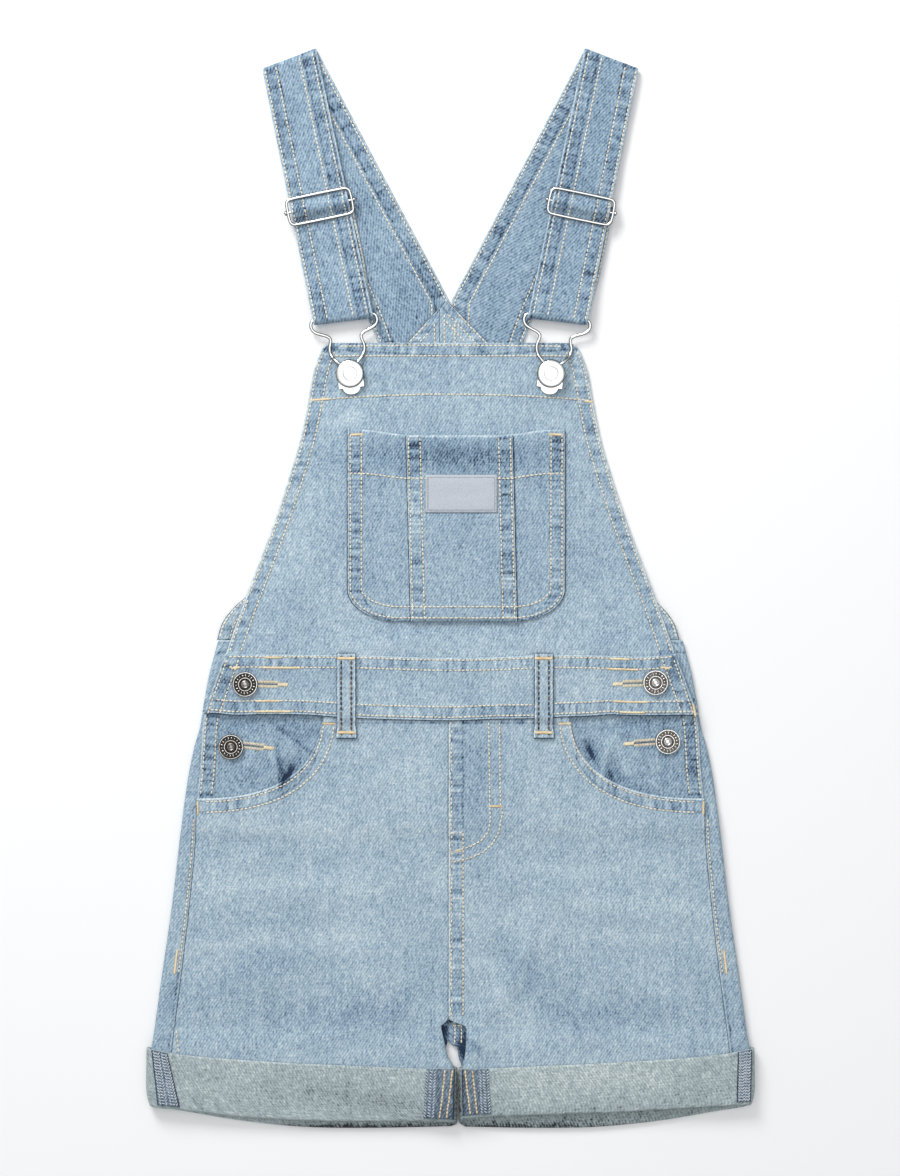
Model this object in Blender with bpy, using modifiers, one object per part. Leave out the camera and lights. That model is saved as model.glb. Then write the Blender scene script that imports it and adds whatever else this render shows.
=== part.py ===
"""Denim shortalls laid flat, face up: overalls with short, turned-up legs.

X runs across the garment, Y runs up it from hem to shoulder, and Z is the height above the surface
that it lies on. The origin is on that surface, under the middle of the garment's outline. Left and
right are as seen in front of the garment. Tables and sizes are in millimetres, and MM turns them
into metres. A cloth piece is one wall: a grid laid on its middle surface, thickened by Solidify.
"""

import math
from bisect import bisect_right
from collections import namedtuple

import bmesh
import bpy
from mathutils import Vector

MM = 0.001

# Driving dimensions
CLOTH = 1.2
SEAM_GAP = 0.3
LAYER = CLOTH + SEAM_GAP
STRAP_CLOTH = 1.8
CUFF_TURN = 0.9
CUFF_STEP = 2 * CUFF_TURN
CENTRE_FRONT = -1.5
CENTRE_BACK = -1.5
FRONT_CROTCH = -283.0
BACK_CROTCH = -299.0
LEG_MEET = 4.9
WAISTBAND_TOP = -45.0
BACK_BAND_TOP = -34.0
BACK_BAND_BOTTOM = -82.0
HIP_OPENING_END = -137.0
LEG_END = -330.0
WIRE_RADIUS = 1.0
SIDES = {"left": -1, "right": 1}

# Half widths of the laid front: the bib, the waistband, the hip facing and then the side seam
Edge = namedtuple("Edge", "at half")
FRONT_EDGE = [
    Edge(159, 82.5), Edge(142, 88.7), Edge(118, 93.3), Edge(95, 98.1), Edge(71, 105.3),
    Edge(48, 112.8), Edge(25, 121.2), Edge(1, 130.3), Edge(-22, 138.8), Edge(-44, 146.3),
    Edge(-81, 159.5), Edge(-89, 161.2), Edge(-118, 163), Edge(-137, 164.8), Edge(-164, 165.6),
    Edge(-203, 169.3), Edge(-244, 174), Edge(-268, 177), Edge(-300, 181), Edge(-345, 184),
]
# Half widths of the side folds, where the back wraps round to the front
FOLD_EDGE = [
    Edge(-34, 151), Edge(-57, 157.3), Edge(-81, 161.5), Edge(-92, 163.5), Edge(-104, 167),
    Edge(-128, 171.6), Edge(-163, 176.2), Edge(-209, 181.7), Edge(-256, 188.5), Edge(-294, 193.7),
    Edge(-306, 195.8), Edge(-320, 196), Edge(-331, 195),
]
BACK_BIB_EDGE = [
    Edge(186, 1.5), Edge(160, 26), Edge(140, 44), Edge(110, 58), Edge(70, 74), Edge(30, 95),
    Edge(5, 117), Edge(-10, 136.5), Edge(-22, 146.5), Edge(-34, 150.4),
]
CUFF_EDGE = [Edge(-298, 197.6), Edge(-322, 198), Edge(-331, 197.2), Edge(-337, 195.4)]

# Height of the underside of the lowest front layer, in the middle and at the front's edge
Rest = namedtuple("Rest", "at middle edge")
FRONT_REST = [
    Rest(160, 4.2, 1.2), Rest(120, 4.0, 1.0), Rest(60, 3.0, 1.2), Rest(0, 2.6, 2.4),
    Rest(-30, 2.8, 4.6), Rest(-84, 3.0, 5.2), Rest(-137, 2.9, 5.6), Rest(-200, 2.4, 5.0),
    Rest(-284, 2.4, 5.0), Rest(-297, 4.0, 6.4), Rest(-352, 4.0, 6.4),
]
# Soft folds in the front: where, half length and half width, height, and the way each one runs
Fold = namedtuple("Fold", "x at length width height heading")
FRONT_FOLDS = [
    Fold(-106, -117, 20, 9, 1.4, 55), Fold(106, -116, 18, 9, 1.2, 130),
    Fold(-34, -262, 60, 9, 1.3, 118), Fold(38, -258, 62, 10, 1.6, 62),
    Fold(-92, -196, 55, 10, 0.9, 8), Fold(98, -204, 60, 11, 1.1, 172),
    Fold(-118, -252, 40, 12, 0.8, 20), Fold(124, -262, 46, 11, 0.9, 160),
    Fold(88, -28, 30, 13, 0.8, 150), Fold(-96, 12, 30, 12, 0.7, 60),
]
# The cuff's upper and lower edges by distance from the middle, in front and behind
CuffEnd = namedtuple("CuffEnd", "at top front back")
CUFF_ENDS = [
    CuffEnd(0, -311.5, -347.5, -350.5), CuffEnd(20, -312, -347.3, -351),
    CuffEnd(60, -310.5, -347, -351.6), CuffEnd(98, -308.8, -346.5, -350.8),
    CuffEnd(140, -306, -343.5, -346.5), CuffEnd(177, -302.5, -339.2, -340.4),
    CuffEnd(190, -300, -338, -338.4), CuffEnd(198, -298.5, -337, -337),
]

DENIM = (0.44, 0.56, 0.68, 1)
DENIM_INSIDE = (0.62, 0.69, 0.72, 1)
DENIM_DARK = (0.33, 0.44, 0.58, 1)
LABEL_GREY = (0.66, 0.70, 0.76, 1)
STEEL = (0.72, 0.72, 0.71, 1)
AGED_STEEL = (0.42, 0.41, 0.40, 1)


def smooth(share):
    share = max(0.0, min(1.0, share))
    return share * share * (3 - 2 * share)


def mix(a, b, share):
    return a + (b - a) * share


def read(table, at, column):
    """A column of a table, on a smooth curve through its rows."""
    rows = sorted(table)
    places = [row.at for row in rows]
    values = [getattr(row, column) for row in rows]
    if at <= places[0]:
        return values[0]
    if at >= places[-1]:
        return values[-1]
    k = bisect_right(places, at) - 1
    span = places[k + 1] - places[k]
    slope = (values[k + 1] - values[k]) / span
    before = slope
    if k > 0:
        before = (values[k + 1] - values[k - 1]) / (places[k + 1] - places[k - 1])
    after = slope
    if k + 2 < len(rows):
        after = (values[k + 2] - values[k]) / (places[k + 2] - places[k])
    t = (at - places[k]) / span
    return (
        values[k] * (1 + 2 * t) * (1 - t) ** 2
        + values[k + 1] * t * t * (3 - 2 * t)
        + span * t * (1 - t) * (before * (1 - t) - after * t)
    )


def fold_height(fold, x, up):
    turn = math.radians(fold.heading)
    along = (x - fold.x) * math.cos(turn) + (up - fold.at) * math.sin(turn)
    across = (up - fold.at) * math.cos(turn) - (x - fold.x) * math.sin(turn)
    return fold.height * math.exp(-((along / fold.length) ** 2) - (across / fold.width) ** 2)


def rest(x, up):
    """The height of the underside of the lowest front layer."""
    outward = smooth((abs(x) / read(FRONT_EDGE, up, "half") - 0.5) / 0.5)
    inward = 0.7 * smooth(1 - abs(x - LEG_MEET) / 34) * smooth((-262 - up) / 30)
    middle = read(FRONT_REST, up, "middle")
    edge = read(FRONT_REST, up, "edge")
    folds = sum(fold_height(fold, x, up) for fold in FRONT_FOLDS)
    return mix(middle, edge, max(outward, inward)) + folds


def clear_collection(name):
    for obj in list(bpy.data.objects):
        bpy.data.objects.remove(obj)
    group = bpy.data.collections.new(name)
    bpy.context.scene.collection.children.link(group)
    return group


SHORTALLS = clear_collection("shortalls")
TOOLS = bpy.data.collections.new("tools")
bpy.context.scene.collection.children.link(TOOLS)


def finish(name, colour, metallic=0.0, roughness=0.9):
    material = bpy.data.materials.new(name)
    material.use_nodes = True
    shader = material.node_tree.nodes["Principled BSDF"]
    shader.inputs["Base Color"].default_value = colour
    shader.inputs["Metallic"].default_value = metallic
    shader.inputs["Roughness"].default_value = roughness
    return material


def add(name, data, material):
    data.materials.append(material)
    obj = bpy.data.objects.new(name, data)
    SHORTALLS.objects.link(obj)
    return obj


def cloth(name, shape, across, along, colour, thick=CLOTH, ring=False):
    """A wall of cloth on the middle surface that shape(u, v) gives, in millimetres."""
    grid = bmesh.new()
    bmesh.ops.create_grid(grid, x_segments=len(across) - 1, y_segments=len(along) - 1, size=1)
    for vert in grid.verts:
        u = across[round((vert.co.x + 1) / 2 * (len(across) - 1))]
        v = along[round((vert.co.y + 1) / 2 * (len(along) - 1))]
        vert.co = Vector(shape(u, v)) * MM
    if ring:
        bmesh.ops.remove_doubles(grid, verts=grid.verts, dist=0.01 * MM)
    mesh = bpy.data.meshes.new(name)
    grid.to_mesh(mesh)
    grid.free()
    obj = add(name, mesh, finish(name, colour))
    wall = obj.modifiers.new("wall", "SOLIDIFY")
    wall.thickness = thick * MM
    wall.offset = 0
    wall.use_even_offset = True
    return obj


def steps(start, stop, count):
    return [mix(start, stop, k / count) for k in range(count + 1)]


# Back bib

STRAP_END = 122.0
BACK_BIB_TOP = 186.0
STRAP_STEP = 18.0
ARM_CURL = 2.4
CURL_FROM = 0.86
CURL_START = 6.0
CURL_LENGTH = 26.0


def back_bib(label, side):
    """Half of the pointed back bib. Its top lies on the straps' ends, and its hips curl up."""

    def shape(u, up):
        edge = CENTRE_BACK + side * read(BACK_BIB_EDGE, up, "half")
        x = mix(CENTRE_BACK + side * SEAM_GAP / 2, edge, u)
        on_straps = (STRAP_CLOTH + SEAM_GAP) * smooth((up - STRAP_END) / STRAP_STEP + 1.4)
        curl = ARM_CURL * smooth((u - CURL_FROM) / (1 - CURL_FROM))
        curl *= smooth((CURL_START - up) / CURL_LENGTH)
        return x, up, CLOTH / 2 + on_straps + curl

    ups = [BACK_BIB_TOP, 179, 170, 160, 148, 132, 114, 105, 96, 70, 40, 15, -2, -12, -22]
    ups.append(BACK_BAND_TOP + SEAM_GAP)
    return cloth("back_bib_" + label, shape, [0, 0.3, 0.6, CURL_FROM, 0.94, 1], ups, DENIM)


# The back's path round each side: the floor, the side fold, and the flap that lies on top

def back_path(side, w, up, inner, flap_end, low, high):
    """w runs 1 to 2 along the floor, 2 to 3 round the side fold, and 3 to 4 in over the flap."""
    fold = side * (read(FOLD_EDGE, up, "half") - CLOTH / 2)
    radius = (high - low) / 2
    if w <= 2:
        return mix(inner, fold - side * radius, w - 1), low
    if w <= 3:
        turn = math.pi * (w - 2)
        return fold - side * radius * (1 - math.sin(turn)), low + radius * (1 - math.cos(turn))
    return mix(fold - side * radius, flap_end, w - 3), high


def under_front(side, up):
    """The middle height of a flap that lies under the front's lowest layer."""
    return rest(side * read(FRONT_EDGE, up, "half"), up) - SEAM_GAP - CLOTH / 2


BUTTON_STAND = 16.0


def back_waistband():
    """The back waistband, with the button stands that reach under the front at both sides."""

    def shape(u, up):
        side = 1 if u > 0 else -1
        front_edge = read(FRONT_EDGE, up, "half")
        stand = side * (front_edge - BUTTON_STAND)
        x, z = back_path(side, 1 + abs(u), up, CENTRE_BACK, stand, CLOTH / 2, under_front(side, up))
        return x, up, z

    half = [0.25, 0.5, 0.75, 1, 1.25, 1.5, 1.75, 2, 3]
    across = [-u for u in reversed(half)] + [0] + half
    ups = [BACK_BAND_TOP, -46, -58, -70, BACK_BAND_BOTTOM]
    return cloth("back_waistband", shape, across, ups, DENIM)


# Legs: w runs round a leg's loop. 0 to 1 is the lower half of the inner fold, 1 to 2 the back on
# the floor, 2 to 3 the side fold, 3 to 5 the front, and 5 to 6 the upper half of the inner fold

CUFF_APART = 0.9
LEG_APART = 4.6
CROTCH_ROUND = 9.0
INNER_TURN = math.radians(82)


def inner_edge(side, up, crotch):
    """Where a panel ends at the middle: at the centre seam, or at the leg's inner fold below it."""
    apart = mix(LEG_APART, CUFF_APART + CUFF_STEP, smooth((-296 - up) / 10))
    at_seam = CENTRE_FRONT + side * SEAM_GAP / 2
    return mix(at_seam, LEG_MEET + side * apart, smooth((crotch - up) / CROTCH_ROUND))



def inner_curl(side, angle, up, crotch, low, high, rising):
    """The half of the inner fold that one panel makes. Above the crotch it lies flat."""
    radius = (high - low) / 2
    curl = smooth((crotch - 2.5 - up) / 10)
    x = inner_edge(side, up, crotch) + side * radius * (1 - math.sin(angle))
    z = radius * (1 - math.cos(angle)) * curl
    return (x, low + z) if rising else (x, high - z)


def leg_low(up):
    """The back leg's middle height: it steps up where it enters the cuff."""
    return CLOTH / 2 + CUFF_STEP * smooth((-286 - up) / 11)


HIP_TUCK = 10.0


def back_leg(label, side):
    """A back leg. Its flap goes under the hip opening, and below that it meets the side seam."""

    def shape(w, up):
        low = leg_low(up)
        seam_edge = side * read(FRONT_EDGE, up, "half")
        on_top = rest(seam_edge, up) + CLOTH / 2
        high = mix(on_top, under_front(side, up), smooth((up - HIP_OPENING_END + 14) / 9))
        tuck = HIP_TUCK * smooth((up - HIP_OPENING_END + 6) / 6)
        flap_end = seam_edge + side * SEAM_GAP / 2 - side * tuck
        inner_high = rest(inner_edge(side, up, BACK_CROTCH), up) + CLOTH / 2
        if w <= 1:
            angle = INNER_TURN * (1 - w)
            x, z = inner_curl(side, angle, up, BACK_CROTCH, low, inner_high, True)
            return x, up, z
        inner, _ = inner_curl(side, 0, up, BACK_CROTCH, low, inner_high, True)
        x, z = back_path(side, w, up, inner, flap_end, low, high)
        return x, up, z

    ws = [0, 0.4, 1, 1.25, 1.5, 1.75, 2, 2.25, 2.5, 2.75, 3, 4]
    ups = [BACK_BAND_BOTTOM - SEAM_GAP, -100, -118, -136, -143, -151, -175, -205, -235, -262, -280, -290,
           -298, -303, -308, -315, LEG_END]
    return cloth("back_leg_" + label, shape, ws, ups, DENIM)


LEG_TOP = WAISTBAND_TOP - 34
MOUTH_START = 83.5
MOUTH_DEPTH = 57.6
MOUTH_POWER = 2.45
POCKET_RIM = 17.0


def mouth(out):
    """The pocket mouth: the height of the front leg's upper edge at a distance from the middle."""
    if out <= MOUTH_START:
        return LEG_TOP
    span = read(FRONT_EDGE, HIP_OPENING_END, "half") - MOUTH_START
    left = max(0.0, 1 - (out - MOUTH_START) / span)
    return LEG_TOP - MOUTH_DEPTH * (1 - left**MOUTH_POWER) ** (1 / MOUTH_POWER)


def leg_lift(up):
    """The front leg lies one layer up at the waist and the pocket, and sinks below it."""
    return LAYER * smooth((up - HIP_OPENING_END) / POCKET_RIM + 1.82)


def front_leg(label, side):
    """A front leg, from the waistband and the scooped pocket mouth down into the cuff."""

    def shape(w, v):
        hip = read(FRONT_EDGE, HIP_OPENING_END, "half")
        top = mouth(mix(hip, abs(CENTRE_FRONT), min(w, 1)))
        up = mix(top, LEG_END, v)
        low = leg_low(up)
        inner_at = inner_edge(side, up, FRONT_CROTCH)
        high = rest(inner_at, up) + CLOTH / 2 + leg_lift(up)
        if w > 1:
            angle = INNER_TURN * (w - 1)
            x, z = inner_curl(side, angle, up, FRONT_CROTCH, low, high, False)
            return x, up, z
        seam = side * (read(FRONT_EDGE, up, "half") - SEAM_GAP / 2)
        inner, _ = inner_curl(side, 0, up, FRONT_CROTCH, low, high, False)
        x = mix(seam, inner, w)
        at_curl = high - rest(inner, up) - CLOTH / 2 - leg_lift(up)
        z = rest(x, up) + CLOTH / 2 + leg_lift(up) + at_curl * smooth((w - 0.9) / 0.1)
        return x, up, z

    ws = [0, 0.1, 0.2, 0.3, 0.38, 0.44, 0.48, 0.5, 0.6, 0.7, 0.8, 0.9, 1, 1.35, 2]
    vs = [0, 0.06, 0.13, 0.2, 0.28, 0.37, 0.46, 0.56, 0.66, 0.74, 0.8, 0.84, 0.88, 0.94, 1]
    return cloth("front_leg_" + label, shape, ws, vs, DENIM)


FACING_LAP = 11.0


def hip_facing(label, side):
    """The hip piece that shows in the pocket mouth, under the front leg and over the back."""
    inner_end = MOUTH_START - FACING_LAP

    def shape(u, v):
        edge = read(FRONT_EDGE, mix(LEG_TOP, HIP_OPENING_END, v), "half")
        bottom = min(mouth(mix(edge, inner_end, u)), mouth(MOUTH_START + FACING_LAP)) - FACING_LAP
        up = mix(LEG_TOP, bottom, v)
        out = mix(read(FRONT_EDGE, up, "half") - SEAM_GAP, inner_end, u)
        return side * out, up, rest(side * out, up) + CLOTH / 2

    return cloth("hip_facing_" + label, shape, steps(0, 1, 8), steps(0, 1, 6), DENIM)


# Cuffs

FOLD_BLEND = 0.12


def cuff_point(side, w, up, inset):
    """A point on the cuff's loop, or on a loop inside it."""
    low = CLOTH / 2 + inset
    cover = CLOTH / 2 + CUFF_STEP - inset
    fold = side * (read(CUFF_EDGE, up, "half") - CLOTH / 2 - inset)
    inner = LEG_MEET + side * (CUFF_APART + inset)
    inner_radius = (rest(inner, up) + cover - low) / 2
    outer_radius = (rest(fold, up) + cover - low) / 2
    if w <= 1 or w > 5:
        angle = math.pi / 2 * (1 - w if w <= 1 else w - 5)
        x = inner + side * inner_radius * (1 - math.sin(angle))
        drop = inner_radius * (1 - math.cos(angle))
        return x, low + drop if w <= 1 else low + 2 * inner_radius - drop
    if w <= 2:
        return mix(inner + side * inner_radius, fold - side * outer_radius, w - 1), low
    if w <= 3:
        turn = math.pi * (w - 2)
        x = fold - side * outer_radius * (1 - math.sin(turn))
        return x, low + outer_radius * (1 - math.cos(turn))
    x = mix(fold - side * outer_radius, inner + side * inner_radius, (w - 3) / 2)
    ends = low + 2 * mix(outer_radius, inner_radius, (w - 3) / 2)
    near_end = smooth(1 - (w - 3) / FOLD_BLEND) + smooth(1 - (5 - w) / FOLD_BLEND)
    return x, mix(rest(x, up) + cover, ends, min(1, near_end))


def cuff(label, side):
    """A turned-up cuff: the leg's end folded out and up, as a ring with a rounded lower edge."""

    def shape(w, v):
        x, _ = cuff_point(side, w, -320, 0)
        share = max(0.5 * (1 - w), min(1, w - 2), 0) if w <= 5 else 1 - 0.5 * (w - 5)
        bottom = mix(read(CUFF_ENDS, abs(x), "back"), read(CUFF_ENDS, abs(x), "front"), share)
        bottom += CLOTH / 2 + CUFF_TURN
        if v <= 1:
            up, inset = mix(read(CUFF_ENDS, abs(x), "top"), bottom, v), 0
        elif v <= 2:
            turn = math.pi * (v - 1)
            up, inset = bottom - CUFF_TURN * math.sin(turn), CUFF_TURN * (1 - math.cos(turn))
        else:
            up, inset = mix(bottom, LEG_END - 3 * SEAM_GAP, v - 2), CUFF_STEP
        x, z = cuff_point(side, w, up, inset)
        return x, up, z

    floor = [1, 1.33, 1.67, 2]
    front = [3, 3 + FOLD_BLEND, 3.35, 3.6, 3.85, 4.1, 4.35, 4.6, 5 - FOLD_BLEND, 5]
    ws = [0, 0.5] + floor + [2.25, 2.5, 2.75] + front + [5.5, 6]
    vs = [0, 0.4, 0.7, 0.86, 1, 1.33, 1.67, 2, 2.5, 3]
    return cloth("cuff_" + label, shape, ws, vs, DENIM_INSIDE, ring=True)


# Seam allowances that show on the cuffs: where each strip's two edges lie at its top and its foot
CuffStrip = namedtuple("CuffStrip", "name top_from top_to foot_from foot_to")
CUFF_STRIPS = [
    CuffStrip("side_left", -193, -182, -188.5, -176.5), CuffStrip("inner_left", -14, -3, -17.5, -6.5),
    CuffStrip("inner_right", 12, 24, 12.5, 26), CuffStrip("side_right", 184, 193, 183, 191.5),
]
STRIP_CLOTH = 1.0
STRIP_FOOT = 2.4


def cuff_strip(strip):
    """The serged seam allowance that shows on a cuff, pressed to one side."""
    lift = CLOTH / 2 + CUFF_STEP + CLOTH / 2 + SEAM_GAP + STRIP_CLOTH / 2

    def shape(u, v):
        x = mix(mix(strip.top_from, strip.top_to, u), mix(strip.foot_from, strip.foot_to, u), v)
        top = read(CUFF_ENDS, abs(x), "top") - SEAM_GAP
        up = mix(top, read(CUFF_ENDS, abs(x), "front") + STRIP_FOOT, v)
        return x, up, rest(x, up) + lift

    return cloth("cuff_seam_" + strip.name, shape, [0, 0.5, 1], steps(0, 1, 5), DENIM_DARK, STRIP_CLOTH)


# Front bib, waistband and what is sewn on them

BAND_LIFT = 2 * LAYER + 0.15
BIB_TOP = 159.4
BIB_CORNER = 6.0
BIB_RISE = 16.0


def bib_lift(up):
    """The bib's foot rises onto the seam inside the waistband."""
    return LAYER * smooth((WAISTBAND_TOP + 20 - up) / BIB_RISE)


def front_bib():
    """The front bib, one panel whose foot goes under the waistband."""

    def shape(u, up):
        into_corner = max(0.0, up - (BIB_TOP - BIB_CORNER))
        round_off = BIB_CORNER - math.sqrt(max(0.0, BIB_CORNER**2 - into_corner**2))
        x = u * (read(FRONT_EDGE, up, "half") - round_off)
        return x, up, rest(x, up) + CLOTH / 2 + bib_lift(up)

    ups = [BIB_TOP, 157.6, 153.4, 135, 115, 95, 75, 55, 35, 15, -5, -25, -33, -41, -51]
    return cloth("front_bib", shape, steps(-1, 1, 12), ups, DENIM)


WAIST_HALF = 150.0
WAISTBAND_HEIGHT = 37.2
TOP_DIP = 2.8
BOTTOM_DIP = 4.0


def waistband_edges(x):
    """The waistband's upper and lower edges. It dips a little in the middle."""
    dip = 1 - (x / WAIST_HALF) ** 2
    top = WAISTBAND_TOP + 0.8
    return top - TOP_DIP * dip, top - WAISTBAND_HEIGHT - BOTTOM_DIP * dip


def front_waistband():
    """The front waistband, over the bib's foot and the tops of the legs."""

    def shape(u, v):
        top, bottom = waistband_edges(u * WAIST_HALF)
        up = mix(top, bottom, v)
        x = u * (read(FRONT_EDGE, up, "half") + SEAM_GAP)
        return x, up, rest(x, up) + BAND_LIFT + CLOTH / 2

    return cloth("front_waistband", shape, steps(-1, 1, 20), [0, 0.33, 0.67, 1], DENIM)


BELT_LOOPS = {"left": -67.6, "right": 60.5}
LOOP_WIDTH = 12.4
LOOP_TOP = -41.6
LOOP_FOOT = -98.0
LOOP_STAND = LAYER + 0.5
LOOP_BEND = 6.0


def belt_loop(label):
    """A belt loop. It climbs over the waistband and is tacked above and below it."""

    def shape(u, up):
        x = BELT_LOOPS[label] + u * LOOP_WIDTH / 2
        top, bottom = waistband_edges(x)
        on_band = smooth((top + 5 - up) / LOOP_BEND) * smooth((up - bottom + 5) / LOOP_BEND)
        height = rest(x, up) + BAND_LIFT + CLOTH / 2 + LOOP_STAND * on_band
        return x, up, height

    ups = [LOOP_TOP, -44, -47, -50, -64, -79, -83, -87, -91, LOOP_FOOT]
    return cloth("belt_loop_" + label, shape, [-1, 0, 1], ups, DENIM)


POCKET_MIDDLE = 3.7
POCKET_HALF = 71.0
POCKET_TOP = 103.0
POCKET_FOOT = -21.6
CORNER_ACROSS = 34.0
CORNER_UP = 21.0
MOUTH_DIP = 3.5


def pocket_gape(v):
    """How far the pocket's mouth stands off the bib."""
    return 0.7 * (1 - v) ** 6


def bib_pocket():
    """The patch pocket. Its mouth dips to the centre panel, and its lower corners are rounded."""

    def shape(u, v):
        nominal = mix(POCKET_TOP, POCKET_FOOT, v)
        into_corner = max(0.0, POCKET_FOOT + CORNER_UP - nominal) / CORNER_UP
        half = POCKET_HALF - CORNER_ACROSS * (1 - math.sqrt(max(0.0, 1 - into_corner**2)))
        x = POCKET_MIDDLE + u * half
        up = nominal - MOUTH_DIP * (1 - smooth((abs(u) - 0.4) / 0.5)) * (1 - v) ** 4
        return x, up, rest(x, up) + LAYER + CLOTH / 2 + pocket_gape(v)

    vs = [0, 0.1, 0.25, 0.42, 0.6, 0.76, 0.84, 0.9, 0.95, 0.985, 1]
    return cloth("bib_pocket", shape, [-1, -0.8, -0.6, -0.3, 0, 0.3, 0.6, 0.8, 1], vs, DENIM)


CENTRE_HALF = 35.0
CENTRE_SHIFT = (2.0, 5.0)
CENTRE_TOP = 99.0


def bib_pocket_centre():
    """The lapped centre panel, felled onto the pocket. It leans a little to one side."""

    def shape(u, v):
        x = POCKET_MIDDLE + mix(*CENTRE_SHIFT, v) + u * CENTRE_HALF
        up = mix(CENTRE_TOP, POCKET_FOOT - SEAM_GAP, v)
        return x, up, rest(x, up) + 2 * LAYER + CLOTH / 2 + pocket_gape(v)

    vs = [0, 0.1, 0.25, 0.42, 0.6, 0.76, 0.84, 0.92, 1]
    return cloth("bib_pocket_centre", shape, steps(-1, 1, 4), vs, DENIM)


LABEL_SIZE = (46.7, 24.6)
LABEL_AT = (7.1, 61.2)
LABEL_CLOTH = 1.0


def pocket_label():
    """The woven label, sewn flat on the centre panel."""

    def shape(u, v):
        x = LABEL_AT[0] + u * LABEL_SIZE[0] / 2
        up = LABEL_AT[1] + v * LABEL_SIZE[1] / 2
        return x, up, rest(x, up) + 3 * LAYER + LABEL_CLOTH / 2

    return cloth("pocket_label", shape, steps(-1, 1, 4), steps(-1, 1, 2), LABEL_GREY, LABEL_CLOTH)


# Straps. Corners of the laid strap: the shoulder fold, the foot at the buckle, and the back end

STRAP_FOLD = (Vector((-122.5, 338.0)), Vector((-87.4, 351.4)))
STRAP_FOOT = (Vector((-88.7, 170.6)), Vector((-49.9, 175.2)))
STRAP_BACK = (Vector((-31.0, STRAP_END)), Vector((-0.75, STRAP_END)))
STRAP_V = Vector((-0.75, 187.0))
V_SHARE = 0.27
FOLD_TURN = 1.6
FOOT_TURN = 2.4
STRAP_LOW = STRAP_CLOTH / 2
STRAP_BEHIND = 3.05
SLIDER_AT = 99.0
SLIDER_HALF = 8.4
SLIDER_REACH = 21.0
SLIDER_CORNER = 3.4
SLIDER_PIN = 1.6
SLIDER_WIRE = 0.95
SLIDER_HEIGHT = 7.3
STRAP_FLAT = 5.2
STRAP_TOP_LAYER = STRAP_BEHIND + 2 * FOOT_TURN
# Middle height of the strap's front, by distance from the shoulder
Rise = namedtuple("Rise", "at front")
STRAP_RISE = [
    Rise(0, STRAP_LOW + 2 * FOLD_TURN), Rise(60, 4.4), Rise(80, STRAP_FLAT), Rise(125, STRAP_FLAT),
    Rise(146, 5.7), Rise(165, STRAP_TOP_LAYER), Rise(176, STRAP_TOP_LAYER),
]


def strap_hump(distance):
    """The strap climbs over the slider's middle bar."""
    off = min(1.0, abs(distance - SLIDER_AT) / (SLIDER_HALF - SLIDER_WIRE))
    over_bar = SLIDER_HEIGHT + SLIDER_WIRE + SEAM_GAP + STRAP_LOW - STRAP_FLAT
    return over_bar * (0.5 + 0.5 * math.cos(math.pi * off))


def strap_axis():
    """Where the laid strap's middle line starts at the shoulder, its direction, and its length."""
    start = (STRAP_FOLD[0] + STRAP_FOLD[1]) / 2
    end = (STRAP_FOOT[0] + STRAP_FOOT[1]) / 2
    return start, (end - start).normalized(), (end - start).length


def strap_front_plan(u, distance):
    """The strap's front in plan. Its rows turn from square across to the lines of its two folds."""
    start, way, length = strap_axis()
    fold = STRAP_FOLD[0].lerp(STRAP_FOLD[1], u)
    foot = STRAP_FOOT[0].lerp(STRAP_FOOT[1], u)
    at_fold = (fold - start).dot(way)
    at_foot = (foot - start).dot(way) - length
    near_fold = smooth(1 - (distance - FOLD_TURN - STRAP_LOW) / 55)
    near_foot = smooth(1 - (length - FOOT_TURN - STRAP_LOW - distance) / 30)
    reach = distance + at_fold * near_fold + at_foot * near_foot
    return fold + (foot - fold) * (reach - at_fold) / (foot - fold).dot(way)


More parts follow.
